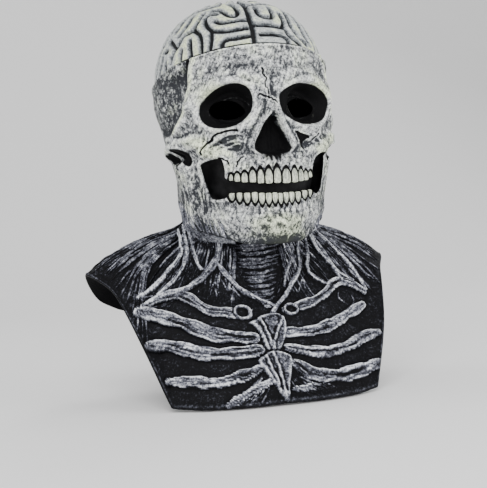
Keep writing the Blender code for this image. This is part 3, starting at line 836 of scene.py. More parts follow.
@dataclass(frozen=True)
class BrainPaint:
    """Lilac-grey folds with yellow-green tops and inked grooves."""

    black: tuple = (0.0045, 0.005, 0.006)
    fold: tuple = ((0.0, (0.050, 0.055, 0.064)), (0.40, (0.30, 0.32, 0.325)),
                   (1.0, (0.72, 0.75, 0.72)))
    top: tuple = ((0.0, (0.056, 0.064, 0.050)), (0.40, (0.35, 0.385, 0.275)),
                  (1.0, (0.82, 0.88, 0.60)))

    def material(self) -> bpy.types.Material:
        """Mix the paint from the point marks crest, warm and ink."""
        s = Shader("BrainPaint")
        speck = s.noise(1.6, 4.0, 0.7)
        cloud = s.noise(20.0, 3.0, 0.5)
        streak = s.noise(2.2, 3.0, 0.6, (4.0, 1.0, 1.0), 20.0)
        cover = s.mark("crest") + speck.swing(1.7) + cloud.swing(0.8) + streak.swing(1.3)
        tint = (s.mark("warm") + cloud.swing(2.4) + streak.swing(0.8)).between(0.3, 0.75)
        paint = s.mix(tint, s.ramp(cover, self.fold), s.ramp(cover, self.top))
        ink = (s.mark("ink") + speck.swing(1.1)).between(0.3, 0.75)
        colour = s.mix(ink, paint, self.black)
        return s.finish(colour, 0.66 + speck.swing(0.3), speck + streak * 0.5, 0.2, 0.22)


@dataclass(frozen=True)
class ToothPaint:
    """Ivory teeth, streaked and darker towards the root, outlined in black."""

    black: tuple = (0.004, 0.004, 0.004)
    ivory: tuple = ((0.0, (0.10, 0.11, 0.10)), (0.40, (0.33, 0.355, 0.30)),
                    (1.0, (0.84, 0.88, 0.69)))

    def material(self) -> bpy.types.Material:
        """Mix the paint from the point marks pale and ink."""
        s = Shader("ToothPaint")
        speck = s.noise(1.1, 3.0, 0.65)
        streak = s.noise(1.3, 3.0, 0.6, (1.0, 1.0, 4.0))
        cover = s.mark("pale") + speck.swing(1.1) + streak.swing(2.2)
        ink = (s.mark("ink") + speck.swing(0.5)).between(0.35, 0.7)
        colour = s.mix(ink, s.ramp(cover, self.ivory), self.black)
        return s.finish(colour, 0.55 + speck.swing(0.2), speck, 0.1, 0.3)


@dataclass(frozen=True)
class SinewPaint:
    """Black latex with grey-lilac and almost white dry-brushed ridges."""

    tones: tuple = ((0.0, (0.0022, 0.0022, 0.0030)), (0.22, (0.009, 0.0095, 0.0125)),
                    (0.5, (0.080, 0.083, 0.105)), (0.78, (0.31, 0.32, 0.36)),
                    (1.0, (0.80, 0.82, 0.86)))

    def material(self) -> bpy.types.Material:
        """Mix the paint from the point mark dry, which also carries painted shadows under the ribs
        and tendons and painted highlights on the ribs' upper sides.
        """
        s = Shader("SinewPaint")
        speck = s.noise(1.8, 4.0, 0.75)
        dots = s.noise(3.8, 3.0, 0.6)
        cloud = s.noise(24.0, 2.0, 0.5)
        cover = s.mark("dry") + speck.swing(1.9) + dots.swing(0.7) + cloud.swing(0.4)
        rough = 0.66 + speck.swing(0.3)
        return s.finish(s.ramp(cover, self.tones), rough, speck * 0.7 + dots, 0.3, 0.10)


@dataclass(frozen=True)
class BlackLatex:
    """Plain black latex sheet with a faint cast grain."""

    black: tuple = (0.0022, 0.0022, 0.0026)
    worn: tuple = (0.010, 0.010, 0.011)

    def material(self) -> bpy.types.Material:
        """Mix the latex."""
        s = Shader("BlackLatex")
        grain = s.noise(1.8, 4.0, 0.65)
        cloud = s.noise(12.0, 2.0, 0.5)
        colour = s.mix(cloud.between(0.35, 0.7), self.black, self.worn)
        return s.finish(colour, 0.6 + grain.swing(0.2), grain, 0.12, 0.15)


# Repeated pieces.

@dataclass
class Repeater:
    """Geometry Nodes tree with named inputs, applied to a guide mesh."""

    name: str

    def __post_init__(self) -> None:
        """Start the tree with its geometry input and output."""
        self.group = bpy.data.node_groups.new(self.name, "GeometryNodeTree")
        self.tree = Tree(self.group)
        self.keys: dict[str, str] = {}
        self.group.interface.new_socket("Geometry", in_out="OUTPUT",
                                        socket_type="NodeSocketGeometry")
        self.add_input("Geometry", "NodeSocketGeometry")
        self.start = self.tree.node("NodeGroupInput", {}, {})

    def add_input(self, name: str, kind: str) -> None:
        """Add a named input of a socket type."""
        item = self.group.interface.new_socket(name, in_out="INPUT", socket_type=kind)
        self.keys[name] = item.identifier

    def read(self, name: str) -> Signal:
        """Socket of one named input."""
        return Signal(self.tree, self.start.outputs[name])

    def stored(self, name: str, kind: str) -> Signal:
        """Named numbers or vectors of the guide's points."""
        return self.tree.signal("GeometryNodeInputNamedAttribute", {"data_type": kind},
                                {"Name": name})

    def close(self, geometry: Signal) -> None:
        """End the tree with real meshes in the chosen material."""
        real = self.tree.signal("GeometryNodeRealizeInstances", {}, {"Geometry": geometry})
        done = self.tree.signal("GeometryNodeSetMaterial", {}, {
            "Geometry": real, "Material": self.read("Material")})
        self.tree.node("NodeGroupOutput", {}, {"Geometry": done})

    def grow(self, guide: bpy.types.Mesh, values: dict[str, Any]) -> bpy.types.Mesh:
        """Run the tree on a guide and return the plain mesh.

        Args:
            guide: Mesh that goes into the tree.
            values: Values of the named inputs.
        Returns:
            The evaluated mesh.
        """
        carrier = bpy.data.objects.new(self.name, guide)
        bpy.context.scene.collection.objects.link(carrier)
        modifier = carrier.modifiers.new(self.name, "NODES")
        modifier.node_group = self.group
        for name, value in values.items():
            modifier[self.keys[name]] = value
        bpy.context.view_layer.update()
        evaluated = carrier.evaluated_get(bpy.context.evaluated_depsgraph_get())
        mesh = bpy.data.meshes.new_from_object(evaluated)
        bpy.data.objects.remove(carrier)
        return mesh


def tooth_repeater() -> Repeater:
    """Tree that sets one tooth on each guide point, turned and sized by its marks."""
    maker = Repeater("ToothRow")
    for name, kind in (("Tooth", "NodeSocketObject"), ("Variation", "NodeSocketFloat"),
                       ("Seed", "NodeSocketInt"), ("Material", "NodeSocketMaterial")):
        maker.add_input(name, kind)
    t = maker.tree
    tooth = t.signal("GeometryNodeObjectInfo", {}, {"Object": maker.read("Tooth")}, "Geometry")
    turn, size = maker.stored("turn", "FLOAT_VECTOR"), maker.stored("size", "FLOAT_VECTOR")
    change = maker.read("Variation")
    lucky = t.signal("FunctionNodeRandomValue", {"data_type": "FLOAT"}, {
        "Min": 1.0 - change, "Max": 1.0 + change, "Seed": maker.read("Seed")}, 1)
    scale = t.signal("ShaderNodeVectorMath", {"operation": "SCALE"}, {0: size, "Scale": lucky})
    facing = t.signal("FunctionNodeEulerToRotation", {}, {0: turn})
    row = t.signal("GeometryNodeInstanceOnPoints", {}, {
        "Points": maker.read("Geometry"), "Instance": tooth, "Rotation": facing, "Scale": scale})
    maker.close(row)
    return maker


def cord_repeater() -> Repeater:
    """Tree that lays a wavy rounded cord along each guide line."""
    maker = Repeater("CastCords")
    for name, kind in (("Thickness", "NodeSocketFloat"), ("Waviness", "NodeSocketFloat"),
                       ("Grain", "NodeSocketFloat"), ("Material", "NodeSocketMaterial")):
        maker.add_input(name, kind)
    t = maker.tree
    lines = t.signal("GeometryNodeMeshToCurve", {}, {"Mesh": maker.read("Geometry")})
    shift = t.node("ShaderNodeTexNoise", {}, {"Scale": maker.read("Grain"), "Detail": 2.0})
    centred = t.signal("ShaderNodeVectorMath", {"operation": "SUBTRACT"}, {
        0: shift.outputs["Color"], 1: (0.5, 0.5, 0.5)})
    offset = t.signal("ShaderNodeVectorMath", {"operation": "SCALE"}, {
        0: centred, "Scale": maker.read("Waviness")})
    wavy = t.signal("GeometryNodeSetPosition", {}, {"Geometry": lines, "Offset": offset})
    girth = maker.stored("girth", "FLOAT")
    profile = t.signal("GeometryNodeCurvePrimitiveCircle", {}, {
        "Resolution": 8, "Radius": maker.read("Thickness")})
    tube = t.signal("GeometryNodeCurveToMesh", {}, {
        "Curve": wavy, "Profile Curve": profile, "Scale": girth, "Fill Caps": True})
    maker.close(tube)
    return maker


# Skull.

SOCKET = ((-65, -112), (-63, -104), (-57, -96), (-49, -90.5), (-40, -87.5), (-31, -87.5),
          (-23, -91), (-18.5, -98), (-17.5, -108), (-21, -117), (-30, -125), (-41, -129.5),
          (-52, -129.5), (-60, -125.5), (-64, -119))
# the socket on the mask's left reaches further in and out than the other one mirrored
FAR_SOCKET = ((7, -106), (10.5, -97.5), (19, -91.5), (31, -88.5), (48, -89.5), (59, -94.5),
              (65.5, -102.5), (67.5, -111.5), (64.5, -120), (56, -126.5), (41, -129), (26, -127),
              (15, -121), (8.5, -114))
EYE_OPENING = ((-54, -111), (-49, -105), (-40, -102), (-31, -103), (-24, -107.5), (-21, -114),
               (-27, -119.5), (-37, -121), (-47, -119.5), (-52, -116))
NOSE = ((0, -118), (-7, -126), (-13, -135), (-18, -145), (-19, -152), (-14, -156), (-3, -157.5),
        (3, -157.5), (14, -156), (19, -152), (18, -145), (13, -135), (7, -126))
MOUTH_GAP = ((-44, -180), (-20, -181), (0, -181.5), (20, -181), (42, -179), (43, -173),
             (45.5, -166), (50, -160), (56, -156.5), (61, -157), (63, -164), (62.5, -178),
             (60, -188), (55, -195), (48, -197), (42, -195), (20, -196.5), (0, -197),
             (-20, -196.5), (-42, -195), (-46, -197), (-52, -198), (-56, -196), (-58.5, -189),
             (-61, -180), (-63, -171), (-64.5, -163.5), (-61.5, -161), (-56, -159.5),
             (-50, -158.5), (-47.5, -162), (-46, -170))
# far cheek's pit, and the two hollows of the ear as (y, z)
STAR = ((24, -135.5), (33, -138), (43, -140), (37, -146), (35, -156), (31, -148))
EAR = ((-29, -147), (-38, -145.5), (-48, -147), (-54, -152), (-55, -159), (-51, -164),
       (-46, -161), (-38, -154))
EAR_CELL = ((-17, -150), (-25, -149), (-31, -154), (-36, -160), (-31, -166), (-22, -162),
            (-16, -156))
# width and course of the cracks, as (x, z)
CRACKS = (
    (0.9, ((-7, -74), (-6, -81), (-4, -84), (-6, -90), (-3, -95), (-3, -103))),
    (0.8, ((-3, -103), (-8, -100), (-12, -99), (-13, -103))),
    (0.8, ((-3, -103), (2, -105), (4, -108))),
    (1.5, ((-34, -132.5), (-47, -133.5), (-56, -140), (-62, -149), (-62.5, -154))),
    (0.9, ((25, -136), (33, -138), (41, -142))), (0.9, ((52, -138), (43, -146))),
    (0.8, ((-50, -158), (-44, -161), (-42, -166))),
    (0.7, ((-36, -167), (-34, -161), (-29, -158))),
)
# raised fibres of the cheeks, as (x, z)
CHEEK_FIBRES = (
    ((-58, -146), (-50, -140), (-40, -136), (-30, -136)),
    ((-56, -150), (-46, -145), (-36, -142), (-27, -144)),
    ((-52, -143), (-46, -147), (-38, -149)), ((-48, -152), (-40, -147), (-34, -145)),
    ((-60, -143), (-52, -136), (-40, -133)),
    ((57, -147), (50, -141), (42, -137), (32, -134)), ((52, -152), (46, -146), (38, -143)),
)
# power of a root's arch, lower for a pointed one
UPPER_ROOT, LOWER_ROOT = 1.9, 1.7
# edges between the teeth
UPPER_EDGES = (-43.5, -39, -33, -26, -19, -12, -4, 4, 14, 22, 29.5, 36.5, 43)
LOWER_EDGES = (-44, -37.5, -31.5, -24.5, -18, -11.5, -5, 1, 6.5, 12.5, 19.5, 27.5, 36.5, 43)


@dataclass(frozen=True)
class ToothPlace:
    """One tooth of a row, in the plane of the face."""

    x: float
    width: float
    gum: float
    tip: float

    def distance(self, x: Array, z: Array, pointed: float, past: float = 0.0) -> Array:
        """Rough distance to the tooth's outline, negative inside it.

        Args:
            x: Places across.
            z: Levels.
            pointed: Power of the root's arch.
            past: How far the outline runs on past the tip.
        Returns:
            Distances in millimetres.
        """
        along = (z - self.tip) / (self.gum - self.tip)
        across = np.abs(x - self.x) / (self.width / 2.0)
        root = np.clip(along, 0.0, 3.0) ** (pointed + 0.4)
        reach = ((across ** pointed + root) ** (1.0 / pointed) - 1.0) * self.width / 2.0
        return np.maximum(reach, -along * abs(self.gum - self.tip) - past)


def tooth_places(edges: Sequence[float], gum: Line, tip: Line) -> list[ToothPlace]:
    """Teeth of one row.

    Args:
        edges: Where one tooth ends and the next begins.
        gum: Level of the gum across the row.
        tip: Level of the biting edge across the row.
    Returns:
        The teeth from the mask's right to its left.
    """
    row = []
    for n, (left, right) in enumerate(zip(edges, edges[1:])):
        x = 0.5 * (left + right)
        wave = 0.5 * math.sin(2.3 * n + 0.7)
        row.append(ToothPlace(x, right - left, float(column(gum, 1, x)) + wave,
                              float(column(tip, 1, x)) + 0.6 * wave))
    return row


UPPER_TEETH = tooth_places(
    UPPER_EDGES,
    ((-43, -174.5), (-30, -172), (-8, -169.5), (12, -170), (30, -172.5), (43, -175)),
    ((-43, -180.5), (-30, -182.5), (-8, -185), (12, -185.5), (30, -184), (43, -180.5)))
LOWER_TEETH = tooth_places(
    LOWER_EDGES,
    ((-44, -200), (-30, -203), (-8, -206), (12, -206), (30, -203.5), (43, -200)),
    ((-44, -192.5), (-30, -192.5), (-8, -194), (12, -194.5), (30, -193.5), (43, -192.5)))
# teeth, way from the tip to the gum, power of the roots
TOOTH_ROWS = ((UPPER_TEETH, 1.0, UPPER_ROOT), (LOWER_TEETH, -1.0, LOWER_ROOT))


@dataclass
class FaceDetail:
    """Fine relief and paint over the bone's main relief, added up step by step."""

    points: Array
    form: HeadForm

    def __post_init__(self) -> None:
        """Work out the places, masks and outline distances that the steps share."""
        self.x, self.y, self.z = (self.points[..., axis] for axis in range(3))
        self.wide = np.abs(self.x)
        self.front = step(-20.0, -38.0, self.y)
        self.side = step(55.0, 66.0, self.wide)
        self.across = np.where(self.front > 0.0, self.x, AWAY)
        near = np.where(self.front > 0.0, -self.wide, -AWAY)
        self.socket = np.where(self.x < 0.0, signed(near, self.z, smooth_line(SOCKET, 4, True)),
                               self.outlined(FAR_SOCKET, 4))
        self.opening = signed(near, self.z, smooth_line(EYE_OPENING, 4, True))
        self.nose = self.outlined(NOSE, 3)
        self.mouth = self.outlined(MOUTH_GAP, 3)
        self.rim_gap = self.form.rim(np.arctan2(self.x, -self.y)) - self.z
        empty = np.zeros(self.x.shape)
        self.layers = {"relief": empty, "pale": empty + 0.47, "warm": empty + 0.20, "ink": empty}

    def outlined(self, outline: Line, pieces: int) -> Array:
        """Distance to an outline on the front of the face."""
        return signed(self.across, self.z, smooth_line(outline, pieces, True))

    def add(self, shape: Array, **amounts: float) -> None:
        """Add a shape to the relief or the marks, by an amount for each."""
        for name, amount in amounts.items():
            self.layers[name] = self.layers[name] + amount * shape

    def spot(self, centre: tuple[float, float], radii: tuple[float, float], tilt: float = 0.0,
             flat: float = 0.0, both: bool = False) -> Array:
        """Soft ellipse on the front of the face.

        Args:
            centre: Its (x, z).
            radii: Half width and half height.
            tilt: Turn in degrees.
            flat: Share of it that is full.
            both: Whether it is there on both sides.
        Returns:
            Numbers from 0 to 1.
        """
        x = self.wide if both else self.x
        return bump(ellipse(x, self.z, centre, radii, tilt), flat) * self.front

    def sockets(self) -> None:
        """Black eye sockets with raised rims and the edges of lids."""
        lids = bump((self.opening - 2.0) / 1.7) + 0.8 * bump((self.opening - 6.0) / 1.7)
        lids = lids * step(-1.0, -3.0, self.socket)
        self.add(step(0.8, -1.2, self.socket) * (1.0 - 0.38 * lids), ink=1.0)
        self.add(step(0.8, -2.0, self.socket), relief=-1.6)
        self.add(bump((self.socket - 2.0) / 2.4), relief=0.9)
        self.add(bump((self.socket - 2.2) / 3.0), pale=0.16)
        self.add(step(0.0, -2.0, self.socket) * (1.0 - 0.9 * lids), pale=-0.5)
        self.add(lids, relief=1.5)

    def nose_and_mouth(self) -> None:
        """Black nose pit with runs of ink under it, and the mouth's edge."""
        z, nose, mouth = self.z, self.nose, self.mouth
        runs = 0.85 + 0.35 * lattice_noise(self.points, (2.2, 2.2, 9.0), 35)
        self.add(runs * self.spot((0.0, -154.0), (25.0, 17.0), flat=0.1), ink=1.0)
        self.add(step(0.8, -2.0, nose) * step(-160.0, -151.0, z), ink=1.0)
        self.add(step(0.5, -0.5, mouth), ink=1.0)
        above = step(-152.0, -140.0, z)
        self.add(above * bump((nose - 1.2) / 1.6), relief=0.9)
        self.add(above * bump((nose - 1.6) / 2.2), pale=0.12)
        self.add(step(0.5, -2.0, nose), relief=-1.5)
        self.add(bump(self.x / 4.0) * step(0.0, -5.0, nose), relief=1.2)
        upper = step(-150.0, -158.0, z) * (self.wide > 40)
        self.add(bump((mouth - 1.6) / 2.4) * upper, relief=0.9)
        outer = step(-198.0, -190.0, z) * (self.wide > 44)
        self.add(bump((mouth - 1.4) / 1.8) * outer, pale=0.30)

    def cracks(self) -> None:
        """Zigzag cracks with raised pale lips."""
        flat = np.stack([self.x, self.z], -1)
        for width, line in CRACKS:
            zig = smooth_line(line, 3)
            turns = np.arange(1, len(zig) - 1)[:, None]
            zig[1:-1] += 0.55 * np.sin(turns * np.array([2.4, 1.7]))
            gap, place = near_line(flat, zig, 5.0)
            thick = width * (1.25 - 0.6 * place)
            self.add(bump(gap / thick, 0.3) * self.front, ink=1.1)
            self.add(bump(gap / thick) * self.front, relief=-1.2)
            self.add(bump((gap - thick - 0.9) / 1.2) * self.front, relief=0.5, pale=0.35)

    def cheeks(self) -> None:
        """Cheekbones with their knobs, pits and fibres."""
        self.add(self.spot((57.0, -153.5), (12.5, 8.0), 24.0, 0.25, True),
                 relief=2.6, pale=0.42, warm=0.7)
        self.add(self.spot((51.0, -150.0), (20.0, 5.5), 26.0, 0.2, True),
                 relief=1.2, pale=0.25, warm=0.5)
        self.add(self.spot((-44.0, -141.5), (15.0, 7.0), 26.0, 0.3), relief=-2.2, pale=-0.42)
        self.add(self.spot((32.0, -148.0), (17.0, 11.0), 10.0, 0.1, True),
                 relief=-0.8, pale=-0.26)
        self.add(self.spot((66.0, -142.0), (14.0, 9.0), both=True), warm=0.5)
        star = self.outlined(STAR, 2)
        self.add(step(0.5, -2.0, star), relief=-2.2)
        self.add(step(0.6, -1.2, star), ink=0.9)
        flat = np.stack([self.x, self.z], -1)
        for line in CHEEK_FIBRES:
            gap, place = near_line(flat, smooth_line(line, 4), 4.0)
            swell = np.sin(np.pi * np.clip(place, 0.03, 0.97)) ** 0.4
            self.add(bump(gap / 1.6) * swell * self.front, relief=1.6, pale=0.62)

    def roots(self) -> None:
        """Bulges over the teeth's roots, and a drawn line round each tooth."""
        for row, way, root in TOOTH_ROWS:
            for tooth in row:
                middle = (tooth.x, tooth.gum + 6.0 * way)
                self.add(self.spot(middle, (tooth.width * 0.52, 9.0)), relief=0.8, pale=0.10)
                gap = tooth.distance(self.x, self.z, root)
                self.add(bump((gap - 0.2) / 1.25, 0.3) * self.front, ink=0.9)

    def temples(self) -> None:
        """Dark mottled pits of the temples, with a pale front edge, a painted shadow just behind
        it, and a ledge.
        """
        y, z, wide = self.y, self.z, self.wide
        behind = y - column(self.form.temple, 1, z)
        pit = step(-0.5, 1.6, behind) * step(100.0, 44.0, behind) * step(-137.0, -132.0, z)
        pit = pit * step(30.0, 60.0, wide) * step(-2.0, 2.0, self.rim_gap)
        edge = bump((behind + 2.6) / 4.0) * step(-138.0, -130.0, z) * (wide > 40)
        self.add(edge, relief=0.8, pale=0.24, warm=0.5)
        self.add(pit * (0.07 - self.layers["pale"]), pale=0.9)
        self.add(pit * bump((self.rim_gap - 7.0) / 10.0, 0.4), pale=-0.05)
        # painted shadow: a black line just behind the front edge, where its wall shades the pit
        self.add(pit * bump((behind - 2.0) / 4.2, 0.35), ink=0.85)
        self.add(pit * bump((behind - 4.0) / 8.0, 0.2), relief=-1.8)
        ledge = bump((z + 138.0 - 0.10 * (y + 50.0)) / 3.4) * step(-66.0, -56.0, y)
        self.add(ledge * self.side * step(12.0, -8.0, y), relief=0.9, pale=0.30)

    def ears(self) -> None:
        """Ear pits of two hollows, with honeycombed bone behind them."""
        y, z, side = self.y, self.z, self.side
        ear, cell = (signed(y, z, smooth_line(line, 3, True)) for line in (EAR, EAR_CELL))
        self.add(step(0.5, -3.5, ear) * side, relief=-3.0)
        self.add(step(0.5, -2.5, cell) * side, relief=-1.5)
        rough = step(-0.5, 0.5, lattice_noise(self.points, 4.2, 31))
        self.add(step(0.8, -0.8, ear) * side, ink=1.2)
        self.add(step(0.8, -0.8, cell) * (0.35 + rough) * side, ink=1.0)
        lip = bump((np.minimum(ear, cell) - 1.4) / 1.9) * side * step(20.0, 0.0, y)
        self.add(lip, relief=0.4, pale=0.08)
        ring = bump((ellipse(y, z, (-32.0, -154.0), (15.0, 8.5)) - 1.15) / 0.35) * side
        self.add(ring, relief=-1.5)
        self.add(ring * step(-150.0, -156.0, z), pale=-0.10)
        comb = bump(ellipse(y, z, (-20.0, -166.0), (15.0, 11.0), -30.0), 0.5) * side
        walls = np.abs(lattice_noise(self.points, 4.0, 33))
        self.add(comb * (1.5 * step(0.25, 0.0, walls) - 1.1), relief=1.0)
        self.add(comb * (0.7 * step(0.22, 0.02, walls) - 0.4), pale=1.0)
        self.add(comb * step(0.25, 0.5, walls), ink=0.6)

    def jaw_and_chin(self) -> None:
        """Fibres of the jaw's sides and the mottled chin."""
        p = self.points
        fibres = lattice_noise(p, (2.6, 2.6, 34.0), 41)
        fibres = fibres + 0.6 * lattice_noise(p, (1.5, 1.5, 18.0), 43)
        zone = step(-166.0, -198.0, self.z) * step(46.0, 60.0, self.wide)
        self.add(fibres * zone, relief=0.45, pale=0.26)
        self.add(zone, pale=-0.28)
        chin = self.spot((2.0, -228.0), (40.0, 22.0), flat=0.3)
        lumps = chin * rough_noise(p, 4.5, 81, 2)
        self.add(lumps, relief=0.45)
        self.add(lumps * self.front, pale=0.30)
        self.add(chin * self.front, pale=-0.22)
        self.add(chin, warm=0.55)

    def grain(self) -> None:
        """Rough bone all over, coarser at the back, with a pale cut rim."""
        p, back = self.points, step(10.0, 45.0, self.y)
        self.add(rough_noise(p, (9.0, 9.0, 14.0), 51, 3), relief=0.5)
        self.add(back * rough_noise(p, (7.0, 7.0, 26.0), 61, 3), relief=0.9)
        outside = step(1.0, 3.0, np.minimum(self.socket, self.nose))
        self.add(outside * rough_noise(p, 3.4, 71, 2), relief=0.42)
        self.add(back, pale=-0.10)
        self.add(bump(self.rim_gap / 3.0), relief=0.7)
        self.add(bump(self.rim_gap / 1.7), pale=0.50)

    def tones(self) -> None:
        """Darker middle of the face and bridge, paler and warmer brows."""
        self.add(self.spot((0.0, -152.0), (46.0, 34.0), flat=0.2), pale=-0.24)
        self.add(self.spot((0.0, -112.0), (17.0, 24.0), flat=0.1), pale=-0.528)
        self.add(self.spot((56.0, -92.0), (20.0, 16.0), -40.0, both=True), pale=0.16, warm=0.6)

    def result(self) -> tuple[Array, dict[str, Array]]:
        """Run every step.

        Returns:
            Relief in millimetres, and the point marks pale, warm and ink.
        """
        for run in (self.sockets, self.nose_and_mouth, self.cracks, self.cheeks, self.roots,
                    self.temples, self.ears, self.jaw_and_chin, self.grain, self.tones):
            run()
        marks = dict(self.layers)
        return marks.pop("relief"), marks


@dataclass
class Skull:
    """Bone face and cap, one closed latex wall with eye holes and a mouth."""

    form: HeadForm
    columns: int = 396
    rows: int = 200
    coarse: int = 4
    dense_to: float = 78.0
    roll_front: float = 5.0
    roll_back: float = 2.6

    def angles(self) -> Array:
        """Angles of the columns, close together over the face."""
        def weight(a: Array) -> Array:
            """Wanted columns at an angle."""
            return 1.0 + 2.6 * step(112.0, self.dense_to, np.abs(np.degrees(a)))
        return spread(math.pi, weight, self.columns)

    def skins(self, collar: Callable[[Array, Array], Array]) -> tuple[Skin, Skin]:
        """Outer and inner skin of the bone.

        Args:
            collar: Gives points of the neck beside points of the jaw, at a level.
        Returns:
            The fine outer and the coarse inner skin, with their openings cut.
        """
        f = self.form
        turn = self.angles()
        low = f.jaw_level(turn)
        floor = step(112.0, 80.0, np.degrees(np.abs(turn)))
        radius = self.roll_back + (self.roll_front - self.roll_back) * floor
        top = f.rim(turn)
        level = top + (low + radius - top) * np.linspace(0.0, 1.0, self.rows)[:, None]
        plain, away = f.base(np.broadcast_to(turn, level.shape), level)
        main = f.relief(plain)
        fine, marks = FaceDetail(plain, f).result()
        whole = main + fine
        pop, swell = whole - blurred(whole, 8, True), whole - blurred(whole, 60, True)
        marks["pale"] += np.clip(0.7 * pop, -0.5, 0.26) + np.clip(0.10 * swell, -0.2, 0.16)
        # painted shade: the bone darkens over the last 14 mm above the jaw's lower edge, where it
        # turns under
        marks["pale"] -= step(low + 14.0, low + 2.0, level) * 0.2
        marks["pale"] = soft_ceiling(marks["pale"], 0.74, 0.12)
        rows_out = [plain + away * whole[..., None]]
        rows_in = [plain + away * (main - f.wall)[..., None]]
        rows = {name: [values] for name, values in marks.items()}
        edge, ahead = rows_out[0][-1], away[-1]
        last = {name: values[-1] for name, values in marks.items()}
        down = np.array([0.0, 0.0, -1.0])

        def lay(row: Array, way: Array, values: dict[str, Any]) -> None:
            """Add one row to both skins, with its marks."""
            rows_out.append(row[None])
            rows_in.append((row - way * f.wall)[None])
            for name, value in values.items():
                rows[name].append(np.broadcast_to(value, (1, self.columns)))

        # rows that roll under the jaw carry painted shade, darker the further they face down
        for tilt in np.linspace(15.0, 90.0, 6):
            lean = math.radians(tilt)
            inset, drop = radius * (1.0 - math.cos(lean)), radius * math.sin(lean)
            row = edge - ahead * inset[:, None] + down * drop[:, None]
            pale = last["pale"] - 0.1 - 0.35 * tilt / 90.0
            lay(row, ahead * math.cos(lean) + down * math.sin(lean), {**last, "pale": pale})
        corner = rows_out[-1][0]
        plain_end = edge - ahead * 2.9
        plain_end[:, 2] -= radius
        neck = collar(edge, low + 5.0)
        end = plain_end + (neck - plain_end) * floor[:, None]
        # floor from the jaw to the neck: painted shade, going black towards the neck under the jaw
        for part in (0.2, 0.45, 0.7, 1.0):
            lay(corner + (end - corner) * part, down,
                {"pale": -0.25 * part, "warm": 0.0, "ink": 0.9 * part})
        grid = np.concatenate(rows_out)
        outer = Skin.from_grid(grid, {n: np.concatenate(r) for n, r in rows.items()}, True)
        pick_r = np.unique(np.append(np.arange(0, len(grid), self.coarse), len(grid) - 1))
        pick_c = np.arange(0, self.columns, self.coarse)
        lining = np.concatenate(rows_in)[np.ix_(pick_r, pick_c)]
        dark = {"pale": 0.0, "warm": 0.0, "ink": 2.0}
        inner = Skin.from_grid(
            lining, {n: np.full(lining.shape[:2], value) for n, value in dark.items()}, True)
        return self.opened(outer), self.opened(inner)

    def opened(self, skin: Skin) -> Skin:
        """Cut the eye holes and the mouth, with a slot for each tooth."""
        x, y, z = skin.points.T
        front = y < -30.0
        near = np.where(front, -np.abs(x), -AWAY)
        eyes = signed(near, z, smooth_line(EYE_OPENING, 4, True))
        mouth = signed(np.where(front, x, AWAY), z, smooth_line(MOUTH_GAP, 3, True))
        for row, way, root in TOOTH_ROWS:
            for tooth in row:
                slot = ToothPlace(tooth.x, tooth.width + 0.6, tooth.gum + way * 0.6, tooth.tip)
                gap = slot.distance(x, z, root, 3.0)
                mouth = np.minimum(mouth, np.where(front, gap, AWAY))
        return skin.clip(np.minimum(eyes, mouth))

    def make(self, paint: bpy.types.Material, collar: Callable[[Array, Array], Array]) -> None:
        """Build the bone and let it stand for the CAD skull."""
        outer, inner = self.skins(collar)
        piece = close_wall("bone_face", outer, inner)
        piece.data.materials.append(paint)
        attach(piece, "root")
        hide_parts("skull")
        log.info("bone_face: %d triangles", len(piece.data.polygons))


# Brain.

